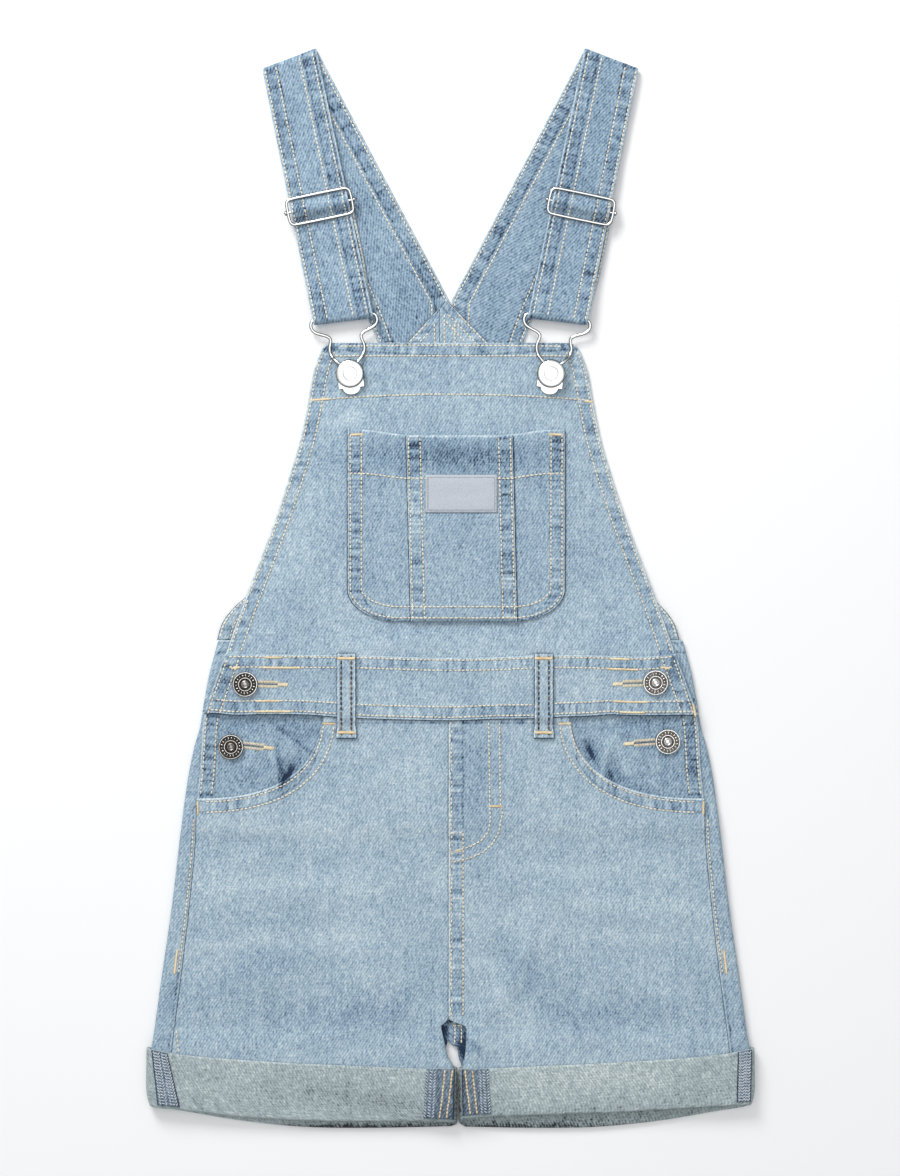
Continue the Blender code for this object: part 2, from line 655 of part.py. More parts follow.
def strap(label, side):
    """One strap: back stretch, shoulder fold, front, fold round the buckle, and the return."""
    across_fold = (STRAP_FOLD[1] - STRAP_FOLD[0]).normalized()
    past_fold = Vector((-across_fold.y, across_fold.x))
    fold_inset = FOLD_TURN + STRAP_LOW
    foot_at = strap_axis()[2] - FOOT_TURN - STRAP_LOW

    def shape(u, v):
        fold = STRAP_FOLD[0].lerp(STRAP_FOLD[1], u) - past_fold * fold_inset
        if v <= 1:
            outer = STRAP_BACK[0].lerp(STRAP_FOLD[0] - past_fold * fold_inset, v)
            inner = STRAP_BACK[1].lerp(STRAP_V, v / V_SHARE)
            if v > V_SHARE:
                shoulder = STRAP_FOLD[1] - past_fold * fold_inset
                inner = STRAP_V.lerp(shoulder, (v - V_SHARE) / (1 - V_SHARE))
            plan, z = outer.lerp(inner, u), STRAP_LOW
        elif v <= 2:
            turn = math.pi * (v - 1)
            plan = fold + past_fold * FOLD_TURN * math.sin(turn)
            z = STRAP_LOW + FOLD_TURN * (1 - math.cos(turn))
        elif v <= 3:
            distance = mix(fold_inset, foot_at, v - 2)
            plan = strap_front_plan(u, distance)
            z = read(STRAP_RISE, distance, "front") + strap_hump(distance)
        elif v <= 4:
            turn = math.pi * (v - 3)
            plan = strap_front_plan(u, foot_at + FOOT_TURN * math.sin(turn))
            z = STRAP_BEHIND + FOOT_TURN * (1 + math.cos(turn))
        else:
            plan = strap_front_plan(u, mix(foot_at, SLIDER_AT - SLIDER_HALF / 2, v - 4))
            z = STRAP_BEHIND
        return -side * plan.x, plan.y, z

    span = foot_at - fold_inset
    at_slider = [2 + (SLIDER_AT - fold_inset + d) / span for d in (-10, -7, -5, -3, -1, 1, 3, 5, 7, 10)]
    vs = [0, 0.12, V_SHARE, 0.45, 0.63, 0.82, 1, 1.25, 1.5, 1.75, 2, 2.15, 2.3, 2.45]
    vs += at_slider
    vs += [2.72, 2.82, 2.9, 2.95, 3, 3.25, 3.5, 3.75, 4, 4.1, 4.3, 4.65, 5]
    return cloth("strap_" + label, shape, steps(0, 1, 3), vs, DENIM, STRAP_CLOTH)


# Metal

def wire_ring(name, points, radius):
    """A closed bent wire, as a round-section curve."""
    curve = bpy.data.curves.new(name, "CURVE")
    curve.dimensions = "3D"
    spline = curve.splines.new("POLY")
    spline.points.add(len(points) - 1)
    for point, place in zip(spline.points, points):
        point.co = (*(Vector(place) * MM), 1)
    spline.use_cyclic_u = True
    curve.bevel_depth = radius * MM
    curve.bevel_resolution = 2
    return add(name, curve, finish(name, STEEL, 1.0, 0.25))


def along_strap(side, distance, across, height):
    """A point given by its place on the laid strap: distance from the fold, and across it."""
    start, way, _ = strap_axis()
    plan = start + way * distance + Vector((-way.y, way.x)) * across
    return Vector((-side * plan.x, plan.y, height))


def slider(label, side):
    """The strap slider: a wire frame with a middle bar that ends in small rivets."""
    frame = []
    for turn_x, turn_y, start in ((1, 1, 0), (-1, 1, 90), (-1, -1, 180), (1, -1, 270)):
        for k in range(4):
            angle = math.radians(start + 30 * k)
            across = turn_x * (SLIDER_REACH - SLIDER_CORNER) + SLIDER_CORNER * math.cos(angle)
            down = turn_y * (SLIDER_HALF - SLIDER_CORNER) + SLIDER_CORNER * math.sin(angle)
            frame.append(along_strap(side, SLIDER_AT + down, across, SLIDER_HEIGHT))
    ring = wire_ring("slider_" + label, frame, SLIDER_WIRE)
    mesh = bpy.data.meshes.new_from_object(ring.evaluated_get(bpy.context.evaluated_depsgraph_get()))
    bpy.data.objects.remove(ring)
    body = bpy.data.objects.new("slider_" + label, mesh)
    SHORTALLS.objects.link(body)
    reach = SLIDER_REACH + SLIDER_PIN
    ends = [along_strap(side, SLIDER_AT, end * reach, SLIDER_HEIGHT) for end in (-1, 1)]
    bar = bmesh.new()
    bmesh.ops.create_cone(
        bar, cap_ends=True, segments=8, radius1=SLIDER_WIRE * MM, radius2=SLIDER_WIRE * MM,
        depth=2 * reach * MM,
    )
    bar_mesh = bpy.data.meshes.new("slider_bar_" + label)
    bar.to_mesh(bar_mesh)
    bar.free()
    rod = bpy.data.objects.new("slider_bar_" + label, bar_mesh)
    TOOLS.objects.link(rod)
    rod.location = (ends[0] + ends[1]) / 2 * MM
    rod.rotation_mode = "QUATERNION"
    rod.rotation_quaternion = (ends[1] - ends[0]).to_track_quat("Z", "Y")
    rod.hide_render = True
    rod.display_type = "WIRE"
    join = body.modifiers.new("bar", "BOOLEAN")
    join.operation = "UNION"
    join.object = rod
    return body


# The buckle hangs square from the strap's foot, down to the bib button
BUTTON_DOWN = 34.0
PLATE_THICK = 1.0
PLATE_STAND = 0.5
WIRE_CLEAR = 0.3
PLATE_SHOULDER = 6.2
PLATE_HALF = 8.4
WING_DOWN = 9.2
TONGUE_ACROSS = 5.7
TONGUE_DOWN = 4.3
BUCKLE_BAR_HEIGHT = STRAP_BEHIND + FOOT_TURN
BAR_DOWN = -(FOOT_TURN + STRAP_LOW)


def at_buckle(side, across, down):
    """A point on the surface, by its distance across from and down from the middle of the foot."""
    line = (STRAP_FOOT[1] - STRAP_FOOT[0]).normalized()
    way = Vector((line.y, -line.x))
    plan = (STRAP_FOOT[0] + STRAP_FOOT[1]) / 2 + way * down + line * across
    return Vector((-side * plan.x, plan.y, 0))


def bib_surface(place):
    return rest(place.x, place.y) + CLOTH


def plate_top(side):
    """The top of the button's plate, which clears the highest place of the bib under it."""
    downs = (-PLATE_SHOULDER, 0, WING_DOWN, WING_DOWN + TONGUE_DOWN)
    places = [at_buckle(side, a, BUTTON_DOWN + d) for a in (-PLATE_HALF, 0, PLATE_HALF) for d in downs]
    return max(bib_surface(place) for place in places) + PLATE_STAND + PLATE_THICK


# Half of the wire's path. It hangs at the bar's height, then over the bib, then over the plate
WireBend = namedtuple("WireBend", "across down over_bib over_plate")
BUCKLE_HALF = [
    WireBend(0, BAR_DOWN, 0, 0), WireBend(18, BAR_DOWN, 0, 0), WireBend(20.4, BAR_DOWN + 0.6, 0, 0),
    WireBend(21.5, -0.6, 0, 0), WireBend(21.4, 2, 0, 0), WireBend(19.6, 4.5, 0, 0),
    WireBend(15.6, 6.5, 0.2, 0), WireBend(11.6, 8.3, 0.5, 0), WireBend(10.1, 10.1, 0.8, 0),
    WireBend(10.3, 12.4, 1, 0), WireBend(11.2, 15.4, 1, 0), WireBend(11.3, 18.4, 1, 0),
    WireBend(10.3, 21.6, 1, 0.2), WireBend(8.2, 24.6, 1, 0.8), WireBend(5.6, 27.4, 1, 1),
    WireBend(4.5, 30.5, 1, 1), WireBend(4.5, 35.5, 1, 1), WireBend(3, 38.4, 1, 1),
    WireBend(0, 39.3, 1, 1),
]


def buckle(label, side):
    """The wire buckle: a bar in the strap's fold, two shoulders, a neck, and a loop at the button."""
    bends = [(bend.across, bend) for bend in BUCKLE_HALF]
    bends += [(-bend.across, bend) for bend in reversed(BUCKLE_HALF[1:-1])]
    points = []
    for across, bend in bends:
        place = at_buckle(side, across, bend.down)
        on_bib = bib_surface(at_buckle(side, across, max(bend.down, 16))) + WIRE_CLEAR + WIRE_RADIUS
        on_plate = plate_top(side) + WIRE_CLEAR + WIRE_RADIUS
        place.z = mix(mix(BUCKLE_BAR_HEIGHT, on_bib, bend.over_bib), on_plate, bend.over_plate)
        points.append(place)
    return wire_ring("buckle_" + label, points, WIRE_RADIUS)


SHANK_RADIUS = 2.4
SHANK_HOLE = 3.2


def buckle_plate(label, side):
    """The stamped plate behind the button: two wings, a tongue, and the hole for the shank."""
    wing = [(PLATE_SHOULDER, -PLATE_SHOULDER), (PLATE_SHOULDER, -1), (PLATE_HALF, 5.2),
            (PLATE_HALF, WING_DOWN)]
    tongue = []
    for k in range(7):
        angle = math.pi * k / 6
        across = TONGUE_ACROSS * math.cos(angle)
        tongue.append((across, WING_DOWN + TONGUE_DOWN * math.sin(angle)))
    outline = wing + tongue + [(-across, down) for across, down in reversed(wing)]
    turns = [math.tau * k / 10 for k in range(10)]
    hole = [(SHANK_HOLE * math.cos(turn), SHANK_HOLE * math.sin(turn)) for turn in turns]
    curve = bpy.data.curves.new("buckle_plate_" + label, "CURVE")
    curve.dimensions = "2D"
    curve.fill_mode = "BOTH"
    curve.extrude = PLATE_THICK / 2 * MM
    for loop in (outline, hole):
        spline = curve.splines.new("POLY")
        spline.points.add(len(loop) - 1)
        for point, (across, down) in zip(spline.points, loop):
            place = at_buckle(side, across, BUTTON_DOWN + down) * MM
            point.co = (place.x, place.y, 0, 1)
        spline.use_cyclic_u = True
    plate = add("buckle_plate_" + label, curve, finish("buckle_plate_" + label, STEEL, 1.0, 0.25))
    plate.location.z = (plate_top(side) - PLATE_THICK / 2) * MM
    return plate


def turned(name, profile, place, colour, roughness):
    """A turned metal piece from its outer profile of radius and height, top to bottom."""
    mesh = bpy.data.meshes.new(name)
    points = [(radius * MM, 0, height * MM) for radius, height in profile]
    mesh.from_pydata(points, [(k, k + 1) for k in range(len(points) - 1)], [])
    obj = add(name, mesh, finish(name, colour, 1.0, roughness))
    obj.location = place * MM
    screw = obj.modifiers.new("turn", "SCREW")
    screw.steps = 18
    screw.render_steps = 18
    screw.use_merge_vertices = True
    screw.merge_threshold = 0.00001
    screw.use_normal_calculate = True
    return obj


def bib_button(label, side):
    place = at_buckle(side, 0, BUTTON_DOWN)
    place.z = bib_surface(place) + SEAM_GAP
    cap = plate_top(side) + 2 * (WIRE_RADIUS + WIRE_CLEAR) - place.z
    profile = [(0, cap + 2.4), (3.6, cap + 2.4), (4.2, cap + 2.1), (7.4, cap + 1.6),
               (8.9, cap + 0.8), (9.1, cap + 0.3), (8.7, cap), (SHANK_RADIUS, cap),
               (SHANK_RADIUS, 0), (0, 0)]
    return turned("bib_button_" + label, profile, place, STEEL, 0.2)


SideButton = namedtuple("SideButton", "name x up on_band")
SIDE_BUTTONS = [
    SideButton("waist_button_left", -133.2, -62.5, True),
    SideButton("waist_button_right", 133.0, -61.4, True),
    SideButton("hip_button_left", -142.6, -103.2, False),
    SideButton("hip_button_right", 141.1, -99.8, False),
]
BUTTON_RADIUS = 8.1


def side_button(button):
    """A shank button with a raised rim, a ring and a middle boss, seated on the cloth."""
    turns = [math.tau * k / 8 for k in range(8)]
    spots = [(button.x + BUTTON_RADIUS * math.cos(turn), button.up + BUTTON_RADIUS * math.sin(turn))
             for turn in turns]
    top = max(rest(x, up) for x, up in spots + [(button.x, button.up)])
    lift = BAND_LIFT if button.on_band else 0
    place = Vector((button.x, button.up, top + lift + CLOTH + SEAM_GAP))
    profile = [(0, 2.3), (1.6, 2.2), (2.4, 1.7), (3.2, 2.3), (4.2, 1.9), (6.6, 1.8), (7.5, 1.6),
               (BUTTON_RADIUS, 0.9), (7.6, 0.2), (6.8, 0), (0, 0)]
    return turned(button.name, profile, place, AGED_STEEL, 0.35)


def main():
    for label, side in SIDES.items():
        back_bib(label, side)
        back_leg(label, side)
        front_leg(label, side)
        hip_facing(label, side)
        cuff(label, side)
        belt_loop(label)
        strap(label, side)
        slider(label, side)
        buckle(label, side)
        buckle_plate(label, side)
        bib_button(label, side)
    back_waistband()
    front_bib()
    front_waistband()
    bib_pocket()
    bib_pocket_centre()
    pocket_label()
    for strip in CUFF_STRIPS:
        cuff_strip(strip)
    for button in SIDE_BUTTONS:
        side_button(button)


main()
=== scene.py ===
"""Denim shortalls laid flat, face up, on a pale table: bib overalls with short, turned-up legs.

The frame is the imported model: X across the garment, Y up it from hem to shoulder, Z up from the table.
Sizes are in millimetres unless a name says otherwise, and MM turns them into metres.
"""

import math
import random
from bisect import bisect_right

import bpy
import numpy as np
from mathutils import Matrix, Vector, noise


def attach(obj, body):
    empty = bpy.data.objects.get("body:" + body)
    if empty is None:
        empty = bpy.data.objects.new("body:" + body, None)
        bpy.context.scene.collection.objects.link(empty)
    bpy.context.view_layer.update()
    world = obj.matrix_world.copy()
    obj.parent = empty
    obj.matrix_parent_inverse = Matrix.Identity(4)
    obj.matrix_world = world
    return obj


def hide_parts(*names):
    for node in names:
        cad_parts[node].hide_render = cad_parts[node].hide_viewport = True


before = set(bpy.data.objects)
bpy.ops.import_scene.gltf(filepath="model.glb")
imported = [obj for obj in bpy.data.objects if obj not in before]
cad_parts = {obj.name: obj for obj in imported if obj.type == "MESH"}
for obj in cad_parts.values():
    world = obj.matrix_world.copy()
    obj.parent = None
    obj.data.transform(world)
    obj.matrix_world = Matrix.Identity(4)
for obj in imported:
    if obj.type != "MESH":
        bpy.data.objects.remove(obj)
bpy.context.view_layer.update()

# Camera, light and table
# The garment is seen from straight above, on a white table under wide, soft studio light
# that comes a little from beyond the shoulders.

MM = 0.001
FRAME_HEIGHT = 1176 * 0.65
CAMERA_HEIGHT = 2200.0
SUBJECT_HEIGHT = 5.0

camera_data = bpy.data.cameras.new("camera")
camera_data.sensor_fit = "VERTICAL"
camera_data.sensor_height = 36
camera_data.lens = 36 * (CAMERA_HEIGHT - SUBJECT_HEIGHT) / FRAME_HEIGHT
camera = bpy.data.objects.new("camera", camera_data)
camera.location = (-0.325 * MM, 0, CAMERA_HEIGHT * MM)
bpy.context.scene.collection.objects.link(camera)
bpy.context.scene.camera = camera
bpy.context.scene.view_settings.view_transform = "Standard"


def soft_light(name, place, aim, size, power):
    data = bpy.data.lights.new(name, "AREA")
    data.shape = "DISK"
    data.size = size
    data.energy = power
    light = bpy.data.objects.new(name, data)
    light.location = place
    light.rotation_euler = (Vector(aim) - Vector(place)).to_track_quat("-Z", "Y").to_euler()
    bpy.context.scene.collection.objects.link(light)


soft_light("shoulder_light", (-0.75, 1.45, 1.2), (0, 0, 0), 0.9, 27)
soft_light("ceiling_light", (0.1, 0.2, 2.9), (0, 0, 0), 2.4, 15)
world = bpy.data.worlds.new("studio")
world.use_nodes = True


class Shade:
    """A socket among a material's nodes. Sums on it add Math nodes."""

    def __init__(self, tree, socket=None):
        self.tree = tree
        self.socket = socket

    def add(self, kind, settings=None, inputs=None, output=0):
        """Adds a node: its settings first, then the values or links of its sockets."""
        node = self.tree.nodes.new(kind)
        for key, value in (settings or {}).items():
            if key == "stops":
                while len(node.color_ramp.elements) < len(value):
                    node.color_ramp.elements.new(1)
                for element, (position, colour) in zip(node.color_ramp.elements, value):
                    element.position = position
                    element.color = (*colour, 1)
            else:
                setattr(node, key, value)
        for key, value in (inputs or {}).items():
            if isinstance(value, Shade):
                self.tree.links.new(value.socket, node.inputs[key])
            else:
                node.inputs[key].default_value = value
        return Shade(self.tree, node.outputs[output])

    def maths(self, operation, *values):
        return self.add("ShaderNodeMath", {"operation": operation}, dict(enumerate(values)))

    def __add__(self, other):
        return self.maths("ADD", self, other)

    def __sub__(self, other):
        return self.maths("SUBTRACT", self, other)

    def __rsub__(self, other):
        return self.maths("SUBTRACT", other, self)

    def __mul__(self, other):
        return self.maths("MULTIPLY", self, other)

    __radd__ = __add__
    __rmul__ = __mul__

    def between(self, low, high):
        """0 at low and 1 at high, eased, whichever is larger."""
        reach = {"Value": self, "From Min": low, "From Max": high}
        return self.add("ShaderNodeMapRange", {"interpolation_type": "SMOOTHSTEP"}, reach)

    def scaled(self, across, along, shift=0.0):
        """A place divided by a size across and a size along, and moved on by a shift."""
        factors = {0: self, 1: (1 / across, 1 / along, 1 / across), 2: (shift, shift, shift)}
        return self.add("ShaderNodeVectorMath", {"operation": "MULTIPLY_ADD"}, factors)

    def noise(self, detail=0.0, rough=0.5, space="2D"):
        inputs = {"Vector": self, "Scale": 1.0, "Detail": detail, "Roughness": rough}
        return self.add("ShaderNodeTexNoise", {"noise_dimensions": space}, inputs)

    def attribute(self, name):
        return self.add("ShaderNodeAttribute", {"attribute_name": name}, output=2)

    def own_place(self):
        """The place in the object's own space."""
        return self.add("ShaderNodeTexCoord", output=3)

    def bump(self, height, distance=1.0, strength=1.0):
        inputs = {"Strength": strength, "Distance": distance * MM, "Height": height}
        return self.add("ShaderNodeBump", inputs=inputs)

    def ramp(self, *stops):
        return self.add("ShaderNodeValToRGB", {"stops": stops}, {"Fac": self})


# The studio: a bright ceiling above walls that darken towards the floor
sky = Shade(world.node_tree)
upward = sky.add("ShaderNodeSeparateXYZ", inputs={0: sky.add("ShaderNodeTexCoord", output=0)}, output=2)
walls = upward.ramp((0.0, (0.16, 0.165, 0.17)), (0.35, (0.34, 0.345, 0.35)), (1.0, (0.74, 0.745, 0.75)))
backdrop = world.node_tree.nodes["Background"]
world.node_tree.links.new(walls.socket, backdrop.inputs["Color"])
bpy.context.scene.world = world


def material(name, roughness, metallic=0.0):
    """A new material: its Principled shader, and a Shade to add nodes from."""
    made = bpy.data.materials.new(name)
    made.use_nodes = True
    shader = made.node_tree.nodes["Principled BSDF"]
    shader.inputs["Roughness"].default_value = roughness
    shader.inputs["Metallic"].default_value = metallic
    return made, shader, Shade(made.node_tree)


def plug(shader, **links):
    for name, value in links.items():
        shader.id_data.links.new(value.socket, shader.inputs[name.replace("_", " ")])


TABLE_SIZE = 8.0
TABLE_DROP = 0.3

bpy.ops.object.select_all(action="DESELECT")
bpy.ops.mesh.primitive_grid_add(x_subdivisions=4, y_subdivisions=4, size=TABLE_SIZE)
table = bpy.context.object
table.name = "table"
table.data.transform(Matrix.Translation((0, 0, -TABLE_DROP * MM)))
white, white_shader, add = material("table_white", 0.55)
plug(
    white_shader,
    Base_Color=add.add(
        "ShaderNodeValToRGB",
        {"stops": [(0, (0.94, 0.943, 0.946)), (1, (0.965, 0.967, 0.97))]},
        {"Fac": add.own_place().noise(2, space="3D")},
    ),
)
table.data.materials.append(white)

# Back legs
# The back of each leg is one panel of light-wash denim that lies on the table, wraps round the side
# and shows beside the front. It is felled to its neighbour up the middle of the back.

CLOTH = 1.2
CLOTH_SHOWN = 0.9
HEM_RISE = 0.35
SEAM_GAP = 0.3
LAYER = 1.5
HEM_WIDTH = 11.0
FAR = 400.0
CUFF_TURN = 0.9
CUFF_STEP = 2 * CUFF_TURN
CUFF_APART = 0.9
CENTRE_SEAM = -1.5
FRONT_CROTCH = -280.5
BACK_CROTCH = -295.0
CROTCH_ROUND = 5.0
LEG_MEET = 4.9
LEG_END = -330.0
HIP_OPENING_END = -137.0
INNER_TURN = math.radians(82)
SIDES = {"left": -1, "right": 1}


def smooth(share):
    share = max(0.0, min(1.0, share))
    return share * share * (3 - 2 * share)


def mix(a, b, share):
    return a + (b - a) * share


def steps(start, stop, count):
    return [mix(start, stop, k / count) for k in range(count + 1)]


def curve_through(*points):
    """A function whose curve runs smoothly through points of place and value."""
    rows = sorted(points)
    places = [place for place, _ in rows]
    values = [value for _, value in rows]
    slopes = []
    for k in range(len(rows)):
        a, b = max(k - 1, 0), min(k + 1, len(rows) - 1)
        slopes.append((values[b] - values[a]) / (places[b] - places[a]))

    def value_at(place):
        if place <= places[0]:
            return values[0]
        if place >= places[-1]:
            return values[-1]
        k = bisect_right(places, place) - 1
        span = places[k + 1] - places[k]
        t = (place - places[k]) / span
        bend = span * t * (1 - t) * (slopes[k] * (1 - t) - slopes[k + 1] * t)
        return values[k] * (1 + 2 * t) * (1 - t) ** 2 + values[k + 1] * t * t * (3 - 2 * t) + bend

    return value_at


# Half widths of the laid front, and of the folds at its sides
front_half = curve_through(
    (159, 82.5), (142, 88.7), (118, 93.3), (95, 98.1), (71, 105.3), (48, 112.8), (25, 121.2),
    (1, 130.3), (-22, 138.8), (-44, 146.3), (-81, 159.5), (-89, 161.2), (-118, 163), (-137, 164.8),
    (-164, 165.6), (-203, 169.3), (-244, 174), (-268, 177), (-300, 181), (-345, 184),
)
fold_half = curve_through(
    (-34, 151), (-57, 157.3), (-81, 161.5), (-92, 163.5), (-104, 167), (-128, 171.6), (-163, 176.2),
    (-209, 181.7), (-256, 188.5), (-294, 193.7), (-306, 195.8), (-320, 196), (-331, 195),
)
# Height of the underside of the lowest front layer, in the middle and at the sides
rest_middle = curve_through(
    (160, 4.2), (120, 4.0), (60, 3.0), (0, 2.6), (-30, 2.8), (-84, 3.0), (-137, 2.9), (-200, 2.4),
    (-284, 2.4), (-297, 4.0), (-352, 4.0),
)
rest_edge = curve_through(
    (160, 1.2), (120, 1.0), (60, 1.2), (0, 2.4), (-30, 4.6), (-84, 5.2), (-137, 5.6), (-200, 5.0),
    (-284, 5.0), (-297, 6.4), (-352, 6.4),
)
# Creases in the front: middle, half length and half width, height, and the way each one runs
CREASES = [
    (-106, -117, 20, 9, 1.4, 55), (106, -116, 18, 9, 1.2, 130), (-34, -262, 60, 9, 1.3, 118),
    (38, -258, 62, 10, 1.6, 62), (-92, -196, 55, 10, 0.9, 8), (98, -204, 60, 11, 1.1, 172),
    (-118, -252, 40, 12, 0.8, 20), (124, -262, 46, 11, 0.9, 160), (88, -28, 30, 13, 0.8, 150),
    (-96, 12, 30, 12, 0.7, 60), (-60, -110, 22, 5, 0.35, 128), (52, -108, 24, 5, 0.4, 60),
    (-20, -232, 34, 4.5, 0.45, 105), (22, -228, 36, 5, 0.4, 74), (-70, -290, 40, 5, 0.4, 12),
    (84, -288, 44, 6, 0.45, 170), (-128, -176, 26, 5, 0.35, 35), (132, -182, 28, 5, 0.4, 148),
    (-84, 96, 26, 5, 0.3, 74), (86, 92, 30, 5, 0.3, 106), (-30, -35, 22, 5, 0.3, 10),
    (46, -36, 26, 5, 0.3, 172), (-104, -25, 24, 5, 0.35, 40), (112, 6, 24, 5, 0.35, 112),
]
# Where the cloth is more faded, or less: whiskers and thighs, seams, pocket and cuffs. Many of the darker
# spots are painted shade: in folds and hollows, at the crotch, between the cuffs and on each cuff's back
# below its front
FADES_AND_SHADE = [
    (-120, -156, 62, 5, 0.10, -3), (-98, -193, 72, 9, 0.10, 2), (-104, -229, 76, 5, 0.10, 3),
    (-137, -251, 40, 10, -0.12, 28), (-78, -275, 80, 15, -0.09, 0), (-50, -130, 40, 10, 0.04, 10),
    (71, -183, 62, 5, 0.08, -3), (118, -206, 55, 5, 0.06, -2), (118, -227, 58, 5, 0.10, -3),
    (70, -208, 60, 9, 0.05, 4), (61, -261, 38, 11, -0.13, 132), (34, -266, 36, 7, 0.11, 118),
    (132, -277, 62, 13, -0.07, 0), (17, -124, 52, 17, -0.08, 90), (-28, -118, 42, 14, 0.03, 90),
    (4, 86, 78, 9.5, -0.12, 0), (4, 85, 25, 11, -0.09, 0), (4, -6, 40, 12, 0.05, 0),
    (-40, 30, 40, 12, 0.04, 90), (-65, 112, 9, 5, 0.16, 20), (66, 108, 12, 5, 0.07, -20),
    (0, -40, 95, 7, 0.05, 0), (-110, 20, 60, 14, 0.03, 62), (-146, -62, 14, 10, -0.10, 90),
    (146, -60, 16, 12, -0.12, 90), (96, -64, 26, 7, 0.09, 0), (-96, -66, 26, 7, 0.03, 0),
    (-46, -334, 42, 8, -0.16, -8), (-140, -318, 50, 9, 0.08, 4), (80, -316, 60, 9, 0.10, 3),
    (150, -330, 40, 8, -0.05, 6), (16.2, -297.8, 9, 2.0, -0.36, 129), (10, -300, 7, 3.4, -0.14, 129),
    (-10, -287, 10, 5, -0.08, 102), (-30, -270, 26, 4, -0.06, 60), (-160, -318, 34, 4, -0.08, -6),
    (-166, -333, 9, 1.3, -0.20, -50), (80, -346.6, 84, 7.0, -0.26, 2), (74, -349.8, 80, 2.4, -0.2, 1),
    (-60, -351, 90, 2.6, -0.62, 0), (4.9, -330, 22, 3.0, -0.6, 90), (-108, -63, 28, 14, -0.10, 0),
    (138, -62, 14, 10, -0.06, 90), (120, -320, 40, 12, 0.05, 0), (-90, -320, 50, 12, -0.04, 0),
    (-86, 0, 10, 60, 0.03, 30), (92, -12, 12, 50, 0.04, -30), (-38, 134, 60, 6, -0.04, 0),
    (50, 138, 50, 6, 0.02, 0),
]


def spots_at(spots, x, up):
    """The sum of soft, long spots: middle, half length and half width, amount, and the way each runs."""
    total = 0.0
    for middle_x, middle_up, length, width, amount, heading in spots:
        turn = math.radians(heading)
        along = (x - middle_x) * math.cos(turn) + (up - middle_up) * math.sin(turn)
        across = (up - middle_up) * math.cos(turn) - (x - middle_x) * math.sin(turn)
        if abs(along) < 2.6 * length and abs(across) < 2.6 * width:
            total += amount * math.exp(-((along / length) ** 2) - (across / width) ** 2)
    return total


def crumple(x, up, seed, size, height):
    """The small, soft unevenness of washed cloth."""
    return height * noise.noise(Vector((x / size, up / size, seed)))


def rest(x, up):
    """The height of the underside of the lowest front layer."""
    outward = smooth((abs(x) / front_half(up) - 0.5) / 0.5)
    inward = 0.7 * smooth(1 - abs(x - LEG_MEET) / 34) * smooth((-262 - up) / 30)
    height = mix(rest_middle(up), rest_edge(up), max(outward, inward)) + spots_at(CREASES, x, up)
    return height + crumple(x, up, 2.0, 24, 0.32) + crumple(x, up, 5.0, 9, 0.16)


def lifted(x, up):
    """The soft hollows of the back, which rests on the table only in places."""
    return 0.42 * (0.5 + crumple(x, up, 9.0, 34, 0.8)) + crumple(x, up, 7.0, 12, 0.12)


